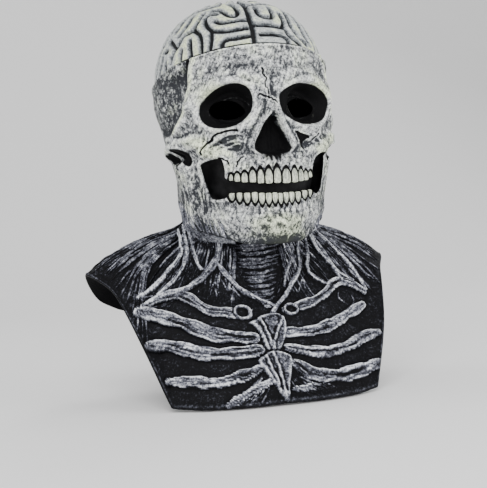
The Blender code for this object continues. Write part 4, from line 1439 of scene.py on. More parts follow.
@dataclass
class Brain:
    """Folded dome inside the cap, with drawn folds in front and grown ones behind."""

    form: HeadForm
    inset: float = 3.6
    wall: float = 3.0
    tuck: float = 5.0
    cells: int = 352
    spacing: float = 11.5
    sheet: int = 320
    sheet_reach: float = 2.7
    turns: int = 130
    seed: int = 8
    half_width: float = 90.0
    half_depth: float = 97.0
    # mean radius, and the run over which the rim falls
    radius: float = 88.0
    rim_run: float = 84.0
    # angle from the crown where the skin's grid ends
    limit: float = 1.97
    # grooves as (x, y, z) of the dome
    grooves: tuple = (
        ((-37, -41, -10), (-31, -47, -11), (-27, -59, -18), (-21, -64, -19), (-17, -60, -15),
         (-17, -51, -8), (-19, -39, -3)),
        ((-9, -73, -25), (-13, -72, -24), (-26, -68, -25), (-35, -64, -26), (-40, -58, -23)),
        ((-35, -51, -15), (-40, -45, -15), (-46, -45, -18), (-48, -51, -24), (-47, -59, -30),
         (-43, -66, -34), (-33, -73, -35), (-23, -76, -34), (-14, -78, -33)),
        ((-46, -63, -34), (-48, -68, -43), (-51, -71, -54)),
        ((-10, -83, -41), (-26, -81, -43), (-35, -77, -44), (-39, -76, -47), (-40, -77, -54)),
        ((-44, -35, -12), (-52, -41, -21), (-58, -45, -29), (-56, -54, -35), (-56, -60, -43),
         (-58, -65, -54)),
        ((-64, -48, -40), (-65, -52, -48), (-66, -56, -57)),
        ((-59, -45, -31), (-66, -37, -34), (-72, -35, -43), (-76, -31, -50), (-80, -30, -59)),
        ((-72, -42, -49), (-74, -45, -61)), ((-52, -24, -14), (-60, -30, -23), (-69, -29, -33)),
        ((-74, -12, -36), (-75, -29, -44), (-77, -31, -50)),
        ((-79, -18, -47), (-80, -8, -48), (-83, -11, -57), (-85, -8, -66), (-86, -7, -74)),
        ((-7, -51, -7), (5, -47, -5), (18, -41, -4), (30, -34, -5)),
        ((3, -55, -9), (2, -64, -16), (4, -69, -20), (10, -70, -22), (16, -68, -21),
         (18, -61, -15), (19, -49, -8)),
        ((-9, -75, -28), (-2, -78, -30), (12, -77, -31), (23, -75, -33)),
        ((23, -75, -33), (27, -70, -27), (27, -57, -16)),
        ((-2, -84, -40), (11, -83, -40), (22, -82, -42), (26, -82, -47), (26, -83, -53)),
        ((36, -43, -11), (35, -68, -30), (41, -72, -41), (50, -69, -49)),
        ((44, -37, -13), (49, -62, -35), (56, -64, -49)),
        ((26, -75, -34), (30, -78, -42), (41, -76, -50)),
    )
    fissure: tuple = ((0, 92, -60), (-2, 88, -40), (2, 60, -8), (-3, 30, 2), (1, 0, 4),
                      (-6, -20, 1), (-10, -35, -1), (-7, -44, -4), (-7, -57, -11),
                      (-9, -73, -25), (-9, -80, -35), (-10, -87, -52))

    def dome(self, polar: Array, u: Array, v: Array) -> Array:
        """Points of the plain dome.

        Args:
            polar: Angle from the crown, in radians.
            u: Way to the left.
            v: Way to the back.
        Returns:
            Points in millimetres.
        """
        f = self.form
        length = np.maximum(np.hypot(u, v), 1e-6)
        x, y, z = np.sin(polar) * u / length, np.sin(polar) * v / length, np.cos(polar)
        across = np.hypot(x, y)
        size = (across ** f.roundness + np.abs(z) ** f.roundness) ** (1.0 / f.roundness)
        half, depth = self.half_width - self.inset, self.half_depth - self.inset
        return np.stack([x / size * half, y / size * depth,
                         f.equator + z / size * (f.crown - f.equator)], -1)

    def pattern(self) -> Array:
        """Grow a labyrinth of folds that joins the drawn grooves.

        It grows on a flat sheet that keeps the dome's angles, with folds that
        widen towards its edge as the sheet does.

        Returns:
            Numbers from -1 in a groove to 1 on a fold, over the sheet.
        """
        n = self.sheet
        across = np.linspace(-self.sheet_reach, self.sheet_reach, n)
        u, v = np.meshgrid(across, across)
        polar = 2.0 * np.arctan(np.hypot(u, v) / 2.0)
        points = self.dome(polar, u, v)
        drawn = np.full((n, n), 1e3)
        for line in (*self.grooves, self.fissure):
            gap, _ = near_line(points, smooth_line(line, 6), 14.0)
            drawn = np.minimum(drawn, gap)
        target = -np.cos(np.clip(drawn / (self.spacing / 2.0), 0.0, 1.0) * np.pi)
        hold = drawn < self.spacing * 0.6
        firm = step(0.58 * self.spacing, 0.42 * self.spacing, drawn)
        pitch = across[1] - across[0]
        wave = 2.0 * np.pi * np.fft.fftfreq(n, pitch)
        k2 = wave[:, None] ** 2 + (2.0 * np.pi * np.fft.rfftfreq(n, pitch)) ** 2
        width = self.spacing / self.radius / np.maximum(np.cos(polar / 2.0), 0.5) ** 2
        sizes = np.geomspace(width.min(), width.max(), 5)
        filters = [1.0 / (1.0 - 0.6 * (0.35 - (1.0 - k2 * (s / (2.0 * np.pi)) ** 2) ** 2))
                   for s in sizes]
        rank = np.log(width / sizes[0]) / np.log(sizes[1] / sizes[0])
        shares = [np.clip(1.0 - np.abs(rank - i), 0.0, 1.0) for i in range(len(sizes))]
        grown = np.random.default_rng(self.seed).normal(0.0, 0.2, (n, n))
        for _ in range(self.turns):
            grown = np.where(hold, 0.5 * (grown + target), grown)
            waves = np.fft.rfft2(grown - 0.6 * grown ** 3)
            grown = sum(share * np.fft.irfft2(waves * part, s=(n, n))
                        for share, part in zip(shares, filters))
        grown = np.clip(grown / (np.sqrt(np.mean(grown ** 2)) * 1.15), -1.0, 1.0)
        return grown + (target - grown) * firm

    def skin(self, cells: int, drop: float, folded: bool) -> Skin:
        """One skin of the dome, cut along the slanting plane inside the rim.

        Args:
            cells: Grid cells across the flat sheet.
            drop: How far it lies inside the dome.
            folded: Whether it has the folds.
        Returns:
            The skin.
        """
        across = np.linspace(-2.0, 2.0, cells)
        u, v = np.meshgrid(across, across)
        polar = np.hypot(u, v)
        points = self.dome(polar, u, v)
        out = np.cross(np.gradient(points, axis=1), np.gradient(points, axis=0))
        out /= np.maximum(np.linalg.norm(out, axis=-1, keepdims=True), 1e-9)
        marks = {name: np.full(u.shape, value)
                 for name, value in (("crest", 0.0), ("warm", 0.0), ("ink", 2.0))}
        height = np.full(u.shape, -drop)
        if folded:
            radius = 2.0 * np.tan(np.minimum(polar, 2.0) / 2.0) / np.maximum(polar, 1e-6)
            place = (self.sheet - 1) / (2.0 * self.sheet_reach)
            middle = (self.sheet - 1) / 2.0
            pattern = sampled(self.pattern(), middle + v * radius * place,
                              middle + u * radius * place)
            groove = step(-0.16, -0.78, pattern)
            gap, _ = near_line(points, smooth_line(self.fissure, 6), 8.0)
            deep = bump(gap / 3.6, 0.15)
            shoulder = np.sqrt(np.clip((pattern + 0.5) / 1.1, 0.0, 1.0))
            height = 1.5 * shoulder - 0.6 - 3.6 * groove - 1.8 * deep
            height = height + 0.35 * rough_noise(points, 5.0, 91, 2)
            groove = np.maximum(groove, deep)
            over = points[..., 2] - self.form.rim(np.arctan2(points[..., 0], -points[..., 1]))
            marks["ink"] = 1.1 * step(0.42, 0.9, groove) + 0.9 * bump(over / 2.4, 0.3)
            marks["crest"] = 0.30 + 0.34 * step(-0.3, 0.7, pattern) - 0.4 * step(0.0, 0.6, groove)
            ahead = step(20.0, -30.0, points[..., 1])
            marks["warm"] = 0.10 + 0.42 * step(0.1, 0.8, pattern) * ahead
        skin = Skin.from_grid(points + out * height[..., None], marks, False)
        level = self.form.rim_front - self.form.rim_fall - self.tuck
        slope = self.form.rim_fall / self.rim_run
        plane = points.reshape(-1, 3)
        above = plane[:, 2] - level + slope * plane[:, 1]
        return skin.clip(np.where(polar.reshape(-1) < self.limit, above, -20.0))

    def make(self, paint: bpy.types.Material) -> None:
        """Build the brain and let it stand for the CAD brain."""
        outer, inner = self.skin(self.cells, 0.0, True), self.skin(70, self.wall, False)
        piece = close_wall("brain_folds", outer.turned(), inner.turned())
        piece.data.materials.append(paint)
        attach(piece, "root")
        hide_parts("brain")
        log.info("brain_folds: %d triangles", len(piece.data.polygons))


# Teeth and mouth.

class Arch(Enum):
    """Which row of teeth."""

    UPPER = "upper"
    LOWER = "lower"


@dataclass
class Teeth:
    """One row of teeth on a dark strip."""

    form: HeadForm
    arch: Arch
    proud: float = 0.5
    thick: float = 3.6

    def template(self) -> bpy.types.Object:
        """One rounded tooth, 1 wide and 1 high, its biting edge towards -Z.

        Returns:
            The tooth, not linked to the scene.
        """
        rings, sides = (1.0, 0.95, 0.86, 0.72, 0.5, 0.25, 0.02), 32
        root = UPPER_ROOT if self.arch is Arch.UPPER else LOWER_ROOT
        angle = 2.0 * np.pi * np.arange(sides) / sides
        c, s = np.cos(angle), np.sin(angle)
        power = np.where(s > 0.0, root, 4.0)
        x = 0.5 * np.sign(c) * np.abs(c) ** (2.0 / power)
        z = np.sign(s) * np.abs(s) ** (2.0 / power) * np.where(s > 0.0, 0.62, 0.38)
        rows, ink = [], []
        for size in rings:
            bulge = np.full(sides, -0.5 * math.sqrt(1.0 - size ** 2))
            rows.append(np.stack([x * size, bulge, z * size - 0.12], -1))
            ink.append(1.2 * step(0.8, 0.94, np.full(sides, size)) * step(-0.36, -0.2, z * size))
        rows.insert(0, np.stack([x * 0.9, np.full(sides, 0.55), z * 0.9 - 0.12], -1))
        ink.insert(0, np.ones(sides))
        grid = np.array(rows)
        pale = 0.62 - 0.62 * np.clip(grid[..., 2] + 0.15, 0.0, 1.0)
        skin = Skin.from_grid(grid / MM, {"pale": pale, "ink": np.array(ink)}, True)
        mesh = skin.mesh("tooth")
        with edited(mesh) as shape:
            bmesh.ops.holes_fill(shape, edges=shape.edges[:], sides=sides)
            bmesh.ops.triangulate(shape, faces=[f for f in shape.faces if len(f.verts) > 4])
        return bpy.data.objects.new("tooth", mesh)

    def guide(self, row: list[ToothPlace]) -> bpy.types.Mesh:
        """Guide points of the row with their turn and size marks."""
        mesh = bpy.data.meshes.new("tooth_guide")
        upper = self.arch is Arch.UPPER
        centres, turns, sizes = [], [], []
        for tooth in row:
            levels = np.array([tooth.gum, 0.5 * (tooth.gum + tooth.tip), tooth.tip])
            at, out = self.form.face_point(np.full(3, tooth.x), levels, 0.0)
            rise = at[0] - at[2]
            lean = math.atan2(float(rise @ -out[1]), abs(float(rise[2])))
            yaw = math.atan2(float(out[1][0]), float(-out[1][1]))
            height = abs(tooth.tip - tooth.gum)
            middle = at[1] + out[1] * (self.proud - 1.2)
            centres.append(tuple(middle * MM))
            turns.append((lean, 0.0, yaw) if upper else (-lean, math.pi, yaw))
            sizes.append(((tooth.width - 0.1) * MM, self.thick * MM, height * MM))
        mesh.from_pydata(centres, [], [])
        store(mesh, "turn", turns, "FLOAT_VECTOR")
        store(mesh, "size", sizes, "FLOAT_VECTOR")
        return mesh

    def strip(self, row: list[ToothPlace]) -> bpy.types.Mesh:
        """Dark closed strip behind the teeth that carries them."""
        x = np.linspace(row[0].x - row[0].width * 0.7, row[-1].x + row[-1].width * 0.7, 60)
        keys = [tooth.x for tooth in row]
        gum = curve(keys, [t.gum for t in row], x)
        tip = curve(keys, [t.tip for t in row], x)
        sign = np.sign(gum - tip)
        share = np.linspace(0.0, 1.0, 7)[:, None]
        z = gum + sign * 1.5 + (tip + sign * 1.6 - gum - sign * 1.5) * share
        wide = np.broadcast_to(x, z.shape)
        front, out = self.form.face_point(wide, z, 2.8)
        marks = {"pale": np.zeros(z.shape), "ink": np.full(z.shape, 2.0)}
        face = Skin.from_grid(front, marks, False)
        back = Skin.from_grid(front - out * 1.2, marks, False)
        mesh = face.join(back.turned()).mesh("strip")
        with edited(mesh) as shape:
            edges = [edge for edge in shape.edges if len(edge.link_faces) == 1]
            bmesh.ops.bridge_loops(shape, edges=edges)
        return mesh

    def make(self, paint: bpy.types.Material, rows: Repeater, node: str) -> None:
        """Build the row and let it stand for its CAD node."""
        row = UPPER_TEETH if self.arch is Arch.UPPER else LOWER_TEETH
        template = self.template()
        mesh = rows.grow(self.guide(row), {"Tooth": template, "Variation": 0.03, "Seed": 5,
                                           "Material": paint})
        bpy.data.objects.remove(template)
        shape = bmesh.new()
        shape.from_mesh(mesh)
        shape.from_mesh(self.strip(row))
        shape.to_mesh(mesh)
        shape.free()
        piece = finished(f"{self.arch.value}_tooth_row", mesh)
        piece.data.materials.clear()
        piece.data.materials.append(paint)
        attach(piece, "root")
        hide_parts(node)
        log.info("%s: %d faces", piece.name, len(piece.data.polygons))


@dataclass
class MouthLining:
    """Black sheet that closes the mouth behind the teeth."""

    form: HeadForm
    thick: float = 1.4
    depth: float = 11.0

    def make(self, latex: bpy.types.Material) -> None:
        """Build the sheet and let it stand for the CAD backing."""
        x, share = np.meshgrid(np.linspace(-69.0, 69.0, 93), np.linspace(0.0, 1.0, 37))
        top = -153.0 - 9.0 * step(52.0, 38.0, np.abs(x))
        z = top + (-213.0 - top) * share
        half = ((0, -168), (20, -168), (40, -167), (44, -160), (52, -158), (62, -163), (64, -175),
                (63, -190), (56, -197), (47, -199), (38, -204), (20, -207), (0, -208))
        outline = np.array(list(half) + [(-a, b) for a, b in half[-2:0:-1]] + [half[0]], float)
        gap = np.maximum(signed(x, z, outline), 0.0)
        angle = np.arcsin(np.clip(x / column(self.form.sections, 1, z), -0.98, 0.98))
        base, out = self.form.base(angle, z)
        against = self.form.relief(base) - self.form.wall * 1.35 - 1.0
        deep = 1.0 - step(0.5, 6.0, gap)
        offset = np.minimum(against, against + (-self.depth - against) * deep)
        wrinkle = 0.5 * rough_noise(base, (9.0, 9.0, 5.0), 15, 3)
        front = base + out * (offset + wrinkle)[..., None]
        face = Skin.from_grid(front, {}, False)
        back = Skin.from_grid((front - out * self.thick)[::2, ::2], {}, False)
        piece = close_wall("mouth_lining", face, back)
        piece.data.materials.append(latex)
        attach(piece, "root")
        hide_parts("mouth_backing")
        log.info("mouth_lining: %d triangles", len(piece.data.polygons))


# Bib.

class Cast(Enum):
    """Profiles of what is cast on the bib."""

    RIB = "rib"
    TENDON = "tendon"


@dataclass(frozen=True)
class Sinew:
    """One raised line of the bib, as (x, z) seen from the front."""

    cast: Cast
    points: Line
    width: float
    height: float


@dataclass(frozen=True)
class Fan:
    """Cords that spread between two lines."""

    first: Line
    last: Line
    count: int
    width: float

    def lines(self, seed: int) -> list[tuple[Array, float]]:
        """Spread the cords, each with a little wander.

        Args:
            seed: Picks the wander.
        Returns:
            Lines seen from the front, and their half widths.
        """
        n = 16
        a, b = evenly(smooth_line(self.first, 6), n), evenly(smooth_line(self.last, 6), n)
        rng = np.random.default_rng(seed)
        out = []
        for k in range(self.count):
            share = (k + 0.5 + rng.uniform(-0.3, 0.3)) / self.count
            drift = share + 0.45 / self.count * np.sin(np.linspace(0, 5, n) + rng.uniform(0, 6))
            line = a + (b - a) * drift[:, None]
            start, end = rng.integers(0, 3), n - rng.integers(0, 3)
            out.append((line[start:end], self.width * rng.uniform(0.65, 1.35)))
        return out


RIBS = (
    Sinew(Cast.RIB, ((-127, -306), (-113, -309), (-95, -315), (-78, -322), (-58, -331), (-40, -334),
                     (-20, -337)), 7.6, 4.2),
    Sinew(Cast.RIB, ((-123, -338), (-106, -339), (-92, -342), (-76, -347), (-56, -350), (-34, -350),
                     (-18, -349)), 7.4, 4.2),
    Sinew(Cast.RIB, ((-109, -373), (-95, -373), (-76, -375), (-59, -376), (-44, -372), (-30, -369),
                     (-20, -366)), 6.0, 4.0),
    Sinew(Cast.RIB, ((-57, -396), (-45, -390), (-30, -384), (-14, -379)), 4.6, 3.2),
    Sinew(Cast.RIB, ((14, -334), (33, -335), (50, -334), (67, -331), (86, -325),
                     (110, -317)), 6.0, 4.0),
    Sinew(Cast.RIB, ((12, -349), (33, -354), (56, -357), (82, -354), (99, -349),
                     (120, -345)), 6.2, 4.2),
    Sinew(Cast.RIB, ((16, -364), (30, -374), (48, -379), (70, -380), (96, -378),
                     (114, -375)), 7.6, 4.0),
    Sinew(Cast.RIB, ((9, -387), (19, -388), (30, -386)), 3.4, 2.4),
    Sinew(Cast.RIB, ((-113, -298), (-100, -294), (-86, -291), (-73, -297), (-60, -308), (-45, -311),
                     (-31, -312), (-20, -312)), 5.4, 4.4),
    Sinew(Cast.RIB, ((16, -313), (38, -310), (53, -307), (69, -301), (79, -294), (90, -291),
                     (104, -295),
                     (117, -304)), 5.0, 4.4),
    Sinew(Cast.RIB, ((-96, -312), (-112, -309), (-121, -302), (-113, -298)), 4.0, 3.2),
)
TENDONS = (
    Sinew(Cast.TENDON, ((-33, -228), (-36, -246), (-41, -259), (-52, -272), (-65, -281),
                        (-79, -288),
                        (-94, -290), (-112, -296)), 4.6, 4.2),
    Sinew(Cast.TENDON, ((-41, -262), (-31, -280), (-20, -292), (-8, -300), (6, -307)), 3.4, 3.2),
    Sinew(Cast.TENDON, ((-45, -268), (-56, -268), (-59, -254), (-58, -237), (-57, -224)), 2.6, 2.6),
    Sinew(Cast.TENDON, ((-61, -223), (-64, -242), (-69, -258), (-84, -276),
                        (-104, -290)), 3.0, 2.8),
    Sinew(Cast.TENDON, ((-66, -228), (-72, -252), (-89, -268), (-107, -283),
                        (-125, -292)), 3.2, 2.8),
    Sinew(Cast.TENDON, ((54, -236), (48, -256), (46, -272), (35, -285), (24, -298), (10, -308),
                        (3, -314)), 3.4, 3.2),
    Sinew(Cast.TENDON, ((67, -236), (62, -259), (55, -273), (60, -283), (74, -292)), 3.0, 3.0),
    Sinew(Cast.TENDON, ((74, -236), (75, -253), (81, -265), (89, -276), (93, -290)), 3.0, 2.8),
    Sinew(Cast.TENDON, ((80, -234), (89, -247), (99, -259), (108, -272), (116, -289),
                        (120, -301)), 3.2, 2.8),
    Sinew(Cast.TENDON, ((76, -240), (85, -263), (91, -278), (108, -291)), 2.4, 2.2),
    Sinew(Cast.TENDON, ((30, -236), (31, -250), (36, -264), (29, -276), (24, -290)), 2.4, 2.2),
)
STRANDS = (
    ((-42, -271), (-48, -282), (-55, -297)), ((-42, -266), (-44, -282), (-45, -300)),
    ((-40, -278), (-36, -289), (-32, -299)), ((-33, -258), (-29, -271), (-35, -278)),
    ((-22, -256), (-28, -271), (-33, -278)), ((-47, -218), (-50, -236), (-55, -247), (-59, -254)),
    ((-42, -220), (-44, -234), (-47, -245)), ((-51, -217), (-46, -238), (-46, -254)),
    ((-38, -285), (-28, -291), (-22, -302)), ((-50, -283), (-47, -291), (-50, -300)),
    ((54, -278), (45, -286), (38, -297)), ((48, -284), (47, -292), (48, -300)),
    ((71, -278), (76, -286), (78, -291)), ((38, -240), (42, -252), (45, -268)),
    ((60, -240), (54, -252), (48, -262)), ((24, -280), (18, -292), (12, -300)),
    ((-19, -371), (-29, -380), (-43, -389), (-53, -397)), ((-16, -375), (-23, -387), (-37, -395)),
    ((-14, -380), (-20, -390), (-29, -398)), ((16, -374), (24, -384), (40, -392)),
    ((18, -370), (32, -380), (52, -388)), ((88, -296), (84, -306), (92, -314)),
    ((98, -300), (102, -310), (96, -318)),
)
SEAMS = (
    ((-12, -319), (-8, -328), (-5, -338), (-3, -349)),
    ((12, -320), (5, -330), (0, -340), (-2, -349)),
    ((-4, -352), (-2, -366), (-1, -383), (-1, -395)), ((-12, -355), (-9, -368), (-5, -382)),
)
FANS = (
    Fan(((-69, -236), (-75, -252), (-91, -266), (-108, -281), (-128, -294)),
        ((-61, -230), (-64, -250), (-70, -265), (-86, -281), (-106, -294)), 7, 1.05),
    Fan(((-104, -284), (-118, -286), (-132, -284), (-143, -290)),
        ((-94, -293), (-110, -300), (-124, -304), (-133, -312)), 7, 1.0),
    Fan(((78, -234), (86, -248), (98, -262), (112, -280), (122, -296)),
        ((70, -236), (74, -254), (80, -268), (90, -282), (104, -292)), 8, 1.0),
    Fan(((-60, -224), (-62, -240), (-66, -256), (-78, -274)),
        ((-42, -222), (-46, -238), (-50, -252), (-56, -266)), 8, 0.95),
    Fan(((-40, -224), (-42, -240), (-46, -256), (-52, -268)),
        ((-30, -226), (-34, -242), (-38, -256), (-42, -264)), 4, 0.9),
    Fan(((34, -232), (38, -246), (40, -262), (34, -278)),
        ((50, -232), (46, -250), (44, -268), (36, -284)), 5, 0.95),
    Fan(((54, -236), (52, -252), (50, -266), (46, -276)),
        ((70, -236), (66, -250), (60, -264), (58, -276)), 6, 0.95),
    Fan(((-38, -268), (-36, -280), (-40, -296)), ((-34, -262), (-26, -276), (-18, -296)), 4, 0.8),
    Fan(((-46, -272), (-52, -282), (-62, -294)), ((-42, -270), (-42, -284), (-44, -300)), 4, 0.8),
    Fan(((-14, -376), (-20, -386), (-30, -396)), ((-19, -370), (-32, -380), (-56, -396)), 8, 0.95),
    Fan(((7, -378), (12, -388), (20, -396)), ((16, -371), (34, -381), (60, -390)), 8, 0.9),
    Fan(((-88, -298), (-98, -304), (-108, -306)), ((-84, -294), (-98, -297), (-116, -300)), 3, 0.9),
)
PLATES = (
    ((-23, -322), (-16, -319), (-10, -316), (5, -314.5), (14, -319), (15, -328), (11, -341),
     (5, -349),
     (-3, -351), (-9, -348), (-12, -339), (-17, -327)),
    ((-21, -359), (-10, -352), (-3, -350), (5, -352), (14, -357), (13, -366), (6, -383), (2, -396),
     (-2, -398), (-7, -388), (-14, -372)),
)


@dataclass
class Bib:
    """Neck, shoulders and chest: one closed wall with ribs, tendons and plates."""

    form: BibForm
    columns: int = 452
    rows: int = 196
    coarse: int = 4

    def __post_init__(self) -> None:
        """Work out the plain surface and the lookups on it."""
        self.turned = self.angles()
        turn, self.reach = np.meshgrid(self.turned, np.linspace(0.0, 1.0, self.rows))
        self.plain = self.form.base(turn, self.reach)
        across = np.roll(self.plain, -1, 1) - np.roll(self.plain, 1, 1)
        self.normal = np.cross(np.gradient(self.plain, axis=0), across)
        self.normal /= np.maximum(np.linalg.norm(self.normal, axis=-1, keepdims=True), 1e-9)
        flat = self.plain.reshape(-1, 3)
        ahead = np.nonzero(flat[:, 1] < 46.0)[0]
        self.front = KDTree(len(ahead))
        for n in ahead:
            self.front.insert((flat[n, 0], 0.0, flat[n, 2]), int(n))
        self.front.balance()

    def angles(self) -> Array:
        """Spoke angles of the columns, close together over the chest."""
        def weight(a: Array) -> Array:
            """Wanted columns for each degree."""
            turn = np.abs(a)
            hem = 1.75 * step(64.0, 56.0, turn) + 2.3 * step(56.0, 64.0, turn)
            return hem * (1.0 - 0.85 * step(122.0, 146.0, turn)) + 0.2
        return spread(180.0, weight, self.columns)

    def lift(self, line: Array) -> Array:
        """Put a line seen from the front down on the plain bib."""
        flat = self.plain.reshape(-1, 3)
        return np.array([flat[self.front.find((x, 0.0, z))[1]] for x, z in line])

    def relief(self) -> tuple[Array, Array]:
        """Cast relief in millimetres, and dry-brushed paint of the bib with painted shadows under
        the ribs and tendons and painted highlights on the ribs' upper sides.
        """
        points = self.plain
        x, y, z = points[..., 0], points[..., 1], points[..., 2]
        grain = rough_noise(points, 4.0, 21, 3)
        fibre = rough_noise(points, 2.0, 23, 2)
        height, dry = np.zeros(x.shape), np.full(x.shape, -0.06)
        dry = dry + 0.10 * rough_noise(points, 16.0, 29, 3)
        for n, sinew in enumerate(RIBS + TENDONS):
            line = evenly(self.lift(smooth_line(sinew.points, 5)), 28)
            gap, place = near_line(points, line, sinew.width * 1.9)
            over = rise_over(points, line, place)
            length = float(np.linalg.norm(np.diff(line, axis=0), axis=1).sum())
            wave = np.sin(place * 13.0 + 2.0 * n) + 0.7 * np.sin(place * 29.0 + 5.0 * n)
            girth = sinew.width * (1.0 + 0.11 * wave - 0.25 * np.abs(2.0 * place - 1.0) ** 5)
            ratio = gap / girth + 0.05 * grain
            side = np.sign(over) * ratio
            lay = np.stack([place * length / 17.0, side * 4.0, 0.0 * place + 3.0 * n], -1)
            along = lattice_noise(lay, 1.0, 37) + 0.5 * lattice_noise(lay * 2.0, 1.0, 38)
            if sinew.cast is Cast.RIB:
                edge = bump((ratio - 0.86 - 0.07 * along) / 0.15)
                inside = step(1.02, 0.84, ratio)
                body = sinew.height * step(1.1, 0.7, ratio) + 0.9 * edge
                body += inside * (1.1 * along - 0.8 * bump(ratio / 0.5))
                # the brushed edges are real paint; the extra lightness on the rib's upper side is a
                # painted highlight
                upper = step(-0.5, 1.5, over)
                light = edge * (0.30 + 0.36 * upper) * (1.0 + 0.5 * along) + inside * (
                    0.38 + 0.50 * along + 0.10 * upper)
            else:
                body = sinew.height * np.sqrt(np.clip(1.0 - ratio ** 2, 0.0, 1.0))
                body = body + 0.8 * along * step(1.0, 0.7, ratio)
                light = (0.58 + 0.44 * along) * bump(ratio / 0.98, 0.4)
            height = np.maximum(height, body)
            # painted shadow: a dark band just below each rib and tendon
            shade = 0.16 * bump((ratio - 1.35) / 0.4) * (over < 0.0)
            dry = np.maximum(dry - shade, light + 0.12 * fibre)
        ahead = step(40.0, 10.0, y)
        for outline in PLATES:
            inside = signed(np.where(ahead > 0, x, 300.0), z, smooth_line(outline, 3, True))
            edge = bump((inside + 1.4) / 1.7)
            height = np.maximum(height, 4.4 * step(0.8, -2.6, inside) + 1.4 * edge)
            top = 0.44 + 0.34 * edge + 0.22 * grain + 0.22 * fibre
            dry = np.where(inside < 0.6, top, dry)
        for line in SEAMS:
            gap, _ = near_line(points, self.lift(smooth_line(line, 4)), 6.0)
            gap = gap + 0.3 * fibre
            height = height + 1.2 * bump(gap / 1.7) - 0.9 * bump((gap - 2.6) / 1.5)
            dry = np.maximum(dry - 0.22 * bump((gap - 2.6) / 1.6), 0.78 * bump(gap / 1.5))
        for centre, radii in (((-27.0, -312.5), (9.5, 6.5)), ((23.0, -313.0), (8.0, 5.0))):
            knob = ellipse(np.where(ahead > 0, x, 300.0), z, centre, radii, -8.0) + 0.10 * grain
            rim = bump((knob - 0.86) / 0.3)
            raised = 3.6 * step(1.1, 0.9, knob) + 1.6 * rim - 2.8 * step(0.8, 0.4, knob)
            height = np.where(knob < 1.1, raised, height)
            dry = np.where(knob < 1.1, 0.16 + (0.52 + 0.3 * grain) * rim, dry)
        gap, _ = near_line(points, self.lift(smooth_line(
            ((-74, -237), (-90, -253), (-106, -270), (-117, -282)), 5)), 9.0)
        slit = bump(gap / 6.5, 0.35)
        height, dry = height * (1.0 - slit) - 2.0 * slit, dry * (1.0 - slit) - 0.1 * slit
        for fan in FANS[:4]:
            outline = np.array(list(fan.first) + list(fan.last[::-1]) + [fan.first[0]], float)
            zone = step(3.0, -3.0, signed(np.where(y < 46.0, x, 300.0), z, outline))
            dry = dry + zone * (0.15 + 0.12 * fibre)
        yoke = step(86.0, 98.0, np.abs(neck_spoke(x, y)))
        dry = dry + yoke * (0.02 + 0.16 * fibre)
        behind = step(20.0, 60.0, y)
        height = height + behind * 1.2 * rough_noise(points, (7.0, 30.0, 30.0), 25, 3)
        dry = dry + behind * 0.36 * (0.45 + rough_noise(points, (6.0, 26.0, 26.0), 25, 3))
        return height + 0.3 * grain, dry + 0.05 * grain

    def make(self, paint: bpy.types.Material) -> None:
        """Build the bib and let it stand for the CAD bib."""
        place = self.reach
        height, dry = self.relief()
        height = height * step(0.05, 0.12, place) * (1.0 - 0.6 * step(0.97, 1.0, place))
        height = height + 0.5 * bump((place - 0.985) / 0.012)
        dry = dry * (1.0 - 0.7 * step(0.975, 0.985, place)) + 0.3 * bump((place - 0.99) / 0.008)
        pop = height - blurred(height, 5, True)
        dry = dry + np.clip(0.30 * pop, -0.3, 0.25)
        hem = step(0.988, 0.998, place)
        outer = self.plain + self.normal * (height - 0.8 * hem ** 2)[..., None]
        skin = Skin.from_grid(outer, {"dry": dry}, True)
        rows = np.unique(np.append(np.arange(0, self.rows, self.coarse), self.rows - 1))
        pick = np.ix_(rows, np.arange(0, self.columns, self.coarse))
        lining = self.plain[pick] - self.normal[pick] * self.form.wall
        back = Skin.from_grid(lining, {"dry": np.full(lining.shape[:2], -0.5)}, True)
        piece = close_wall("neck_and_chest", skin, back)
        piece.data.materials.append(paint)
        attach(piece, "root")
        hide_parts("bib")
        log.info("neck_and_chest: %d triangles", len(piece.data.polygons))

    def collar(self, edge: Array, level: Array) -> Array:
        """Points of the neck beside points of the jaw, each at its level."""
        spoke = neck_spoke(edge[:, 0], edge[:, 1])
        column = np.clip(np.searchsorted(self.turned, spoke), 0, self.columns - 1)
        out = np.empty((len(edge), 3))
        for n, (c, z) in enumerate(zip(column, level)):
            part = self.plain[:self.rows // 2, c]
            for axis in range(3):
                out[n, axis] = np.interp(-z, -part[:, 2], part[:, axis])
        return out


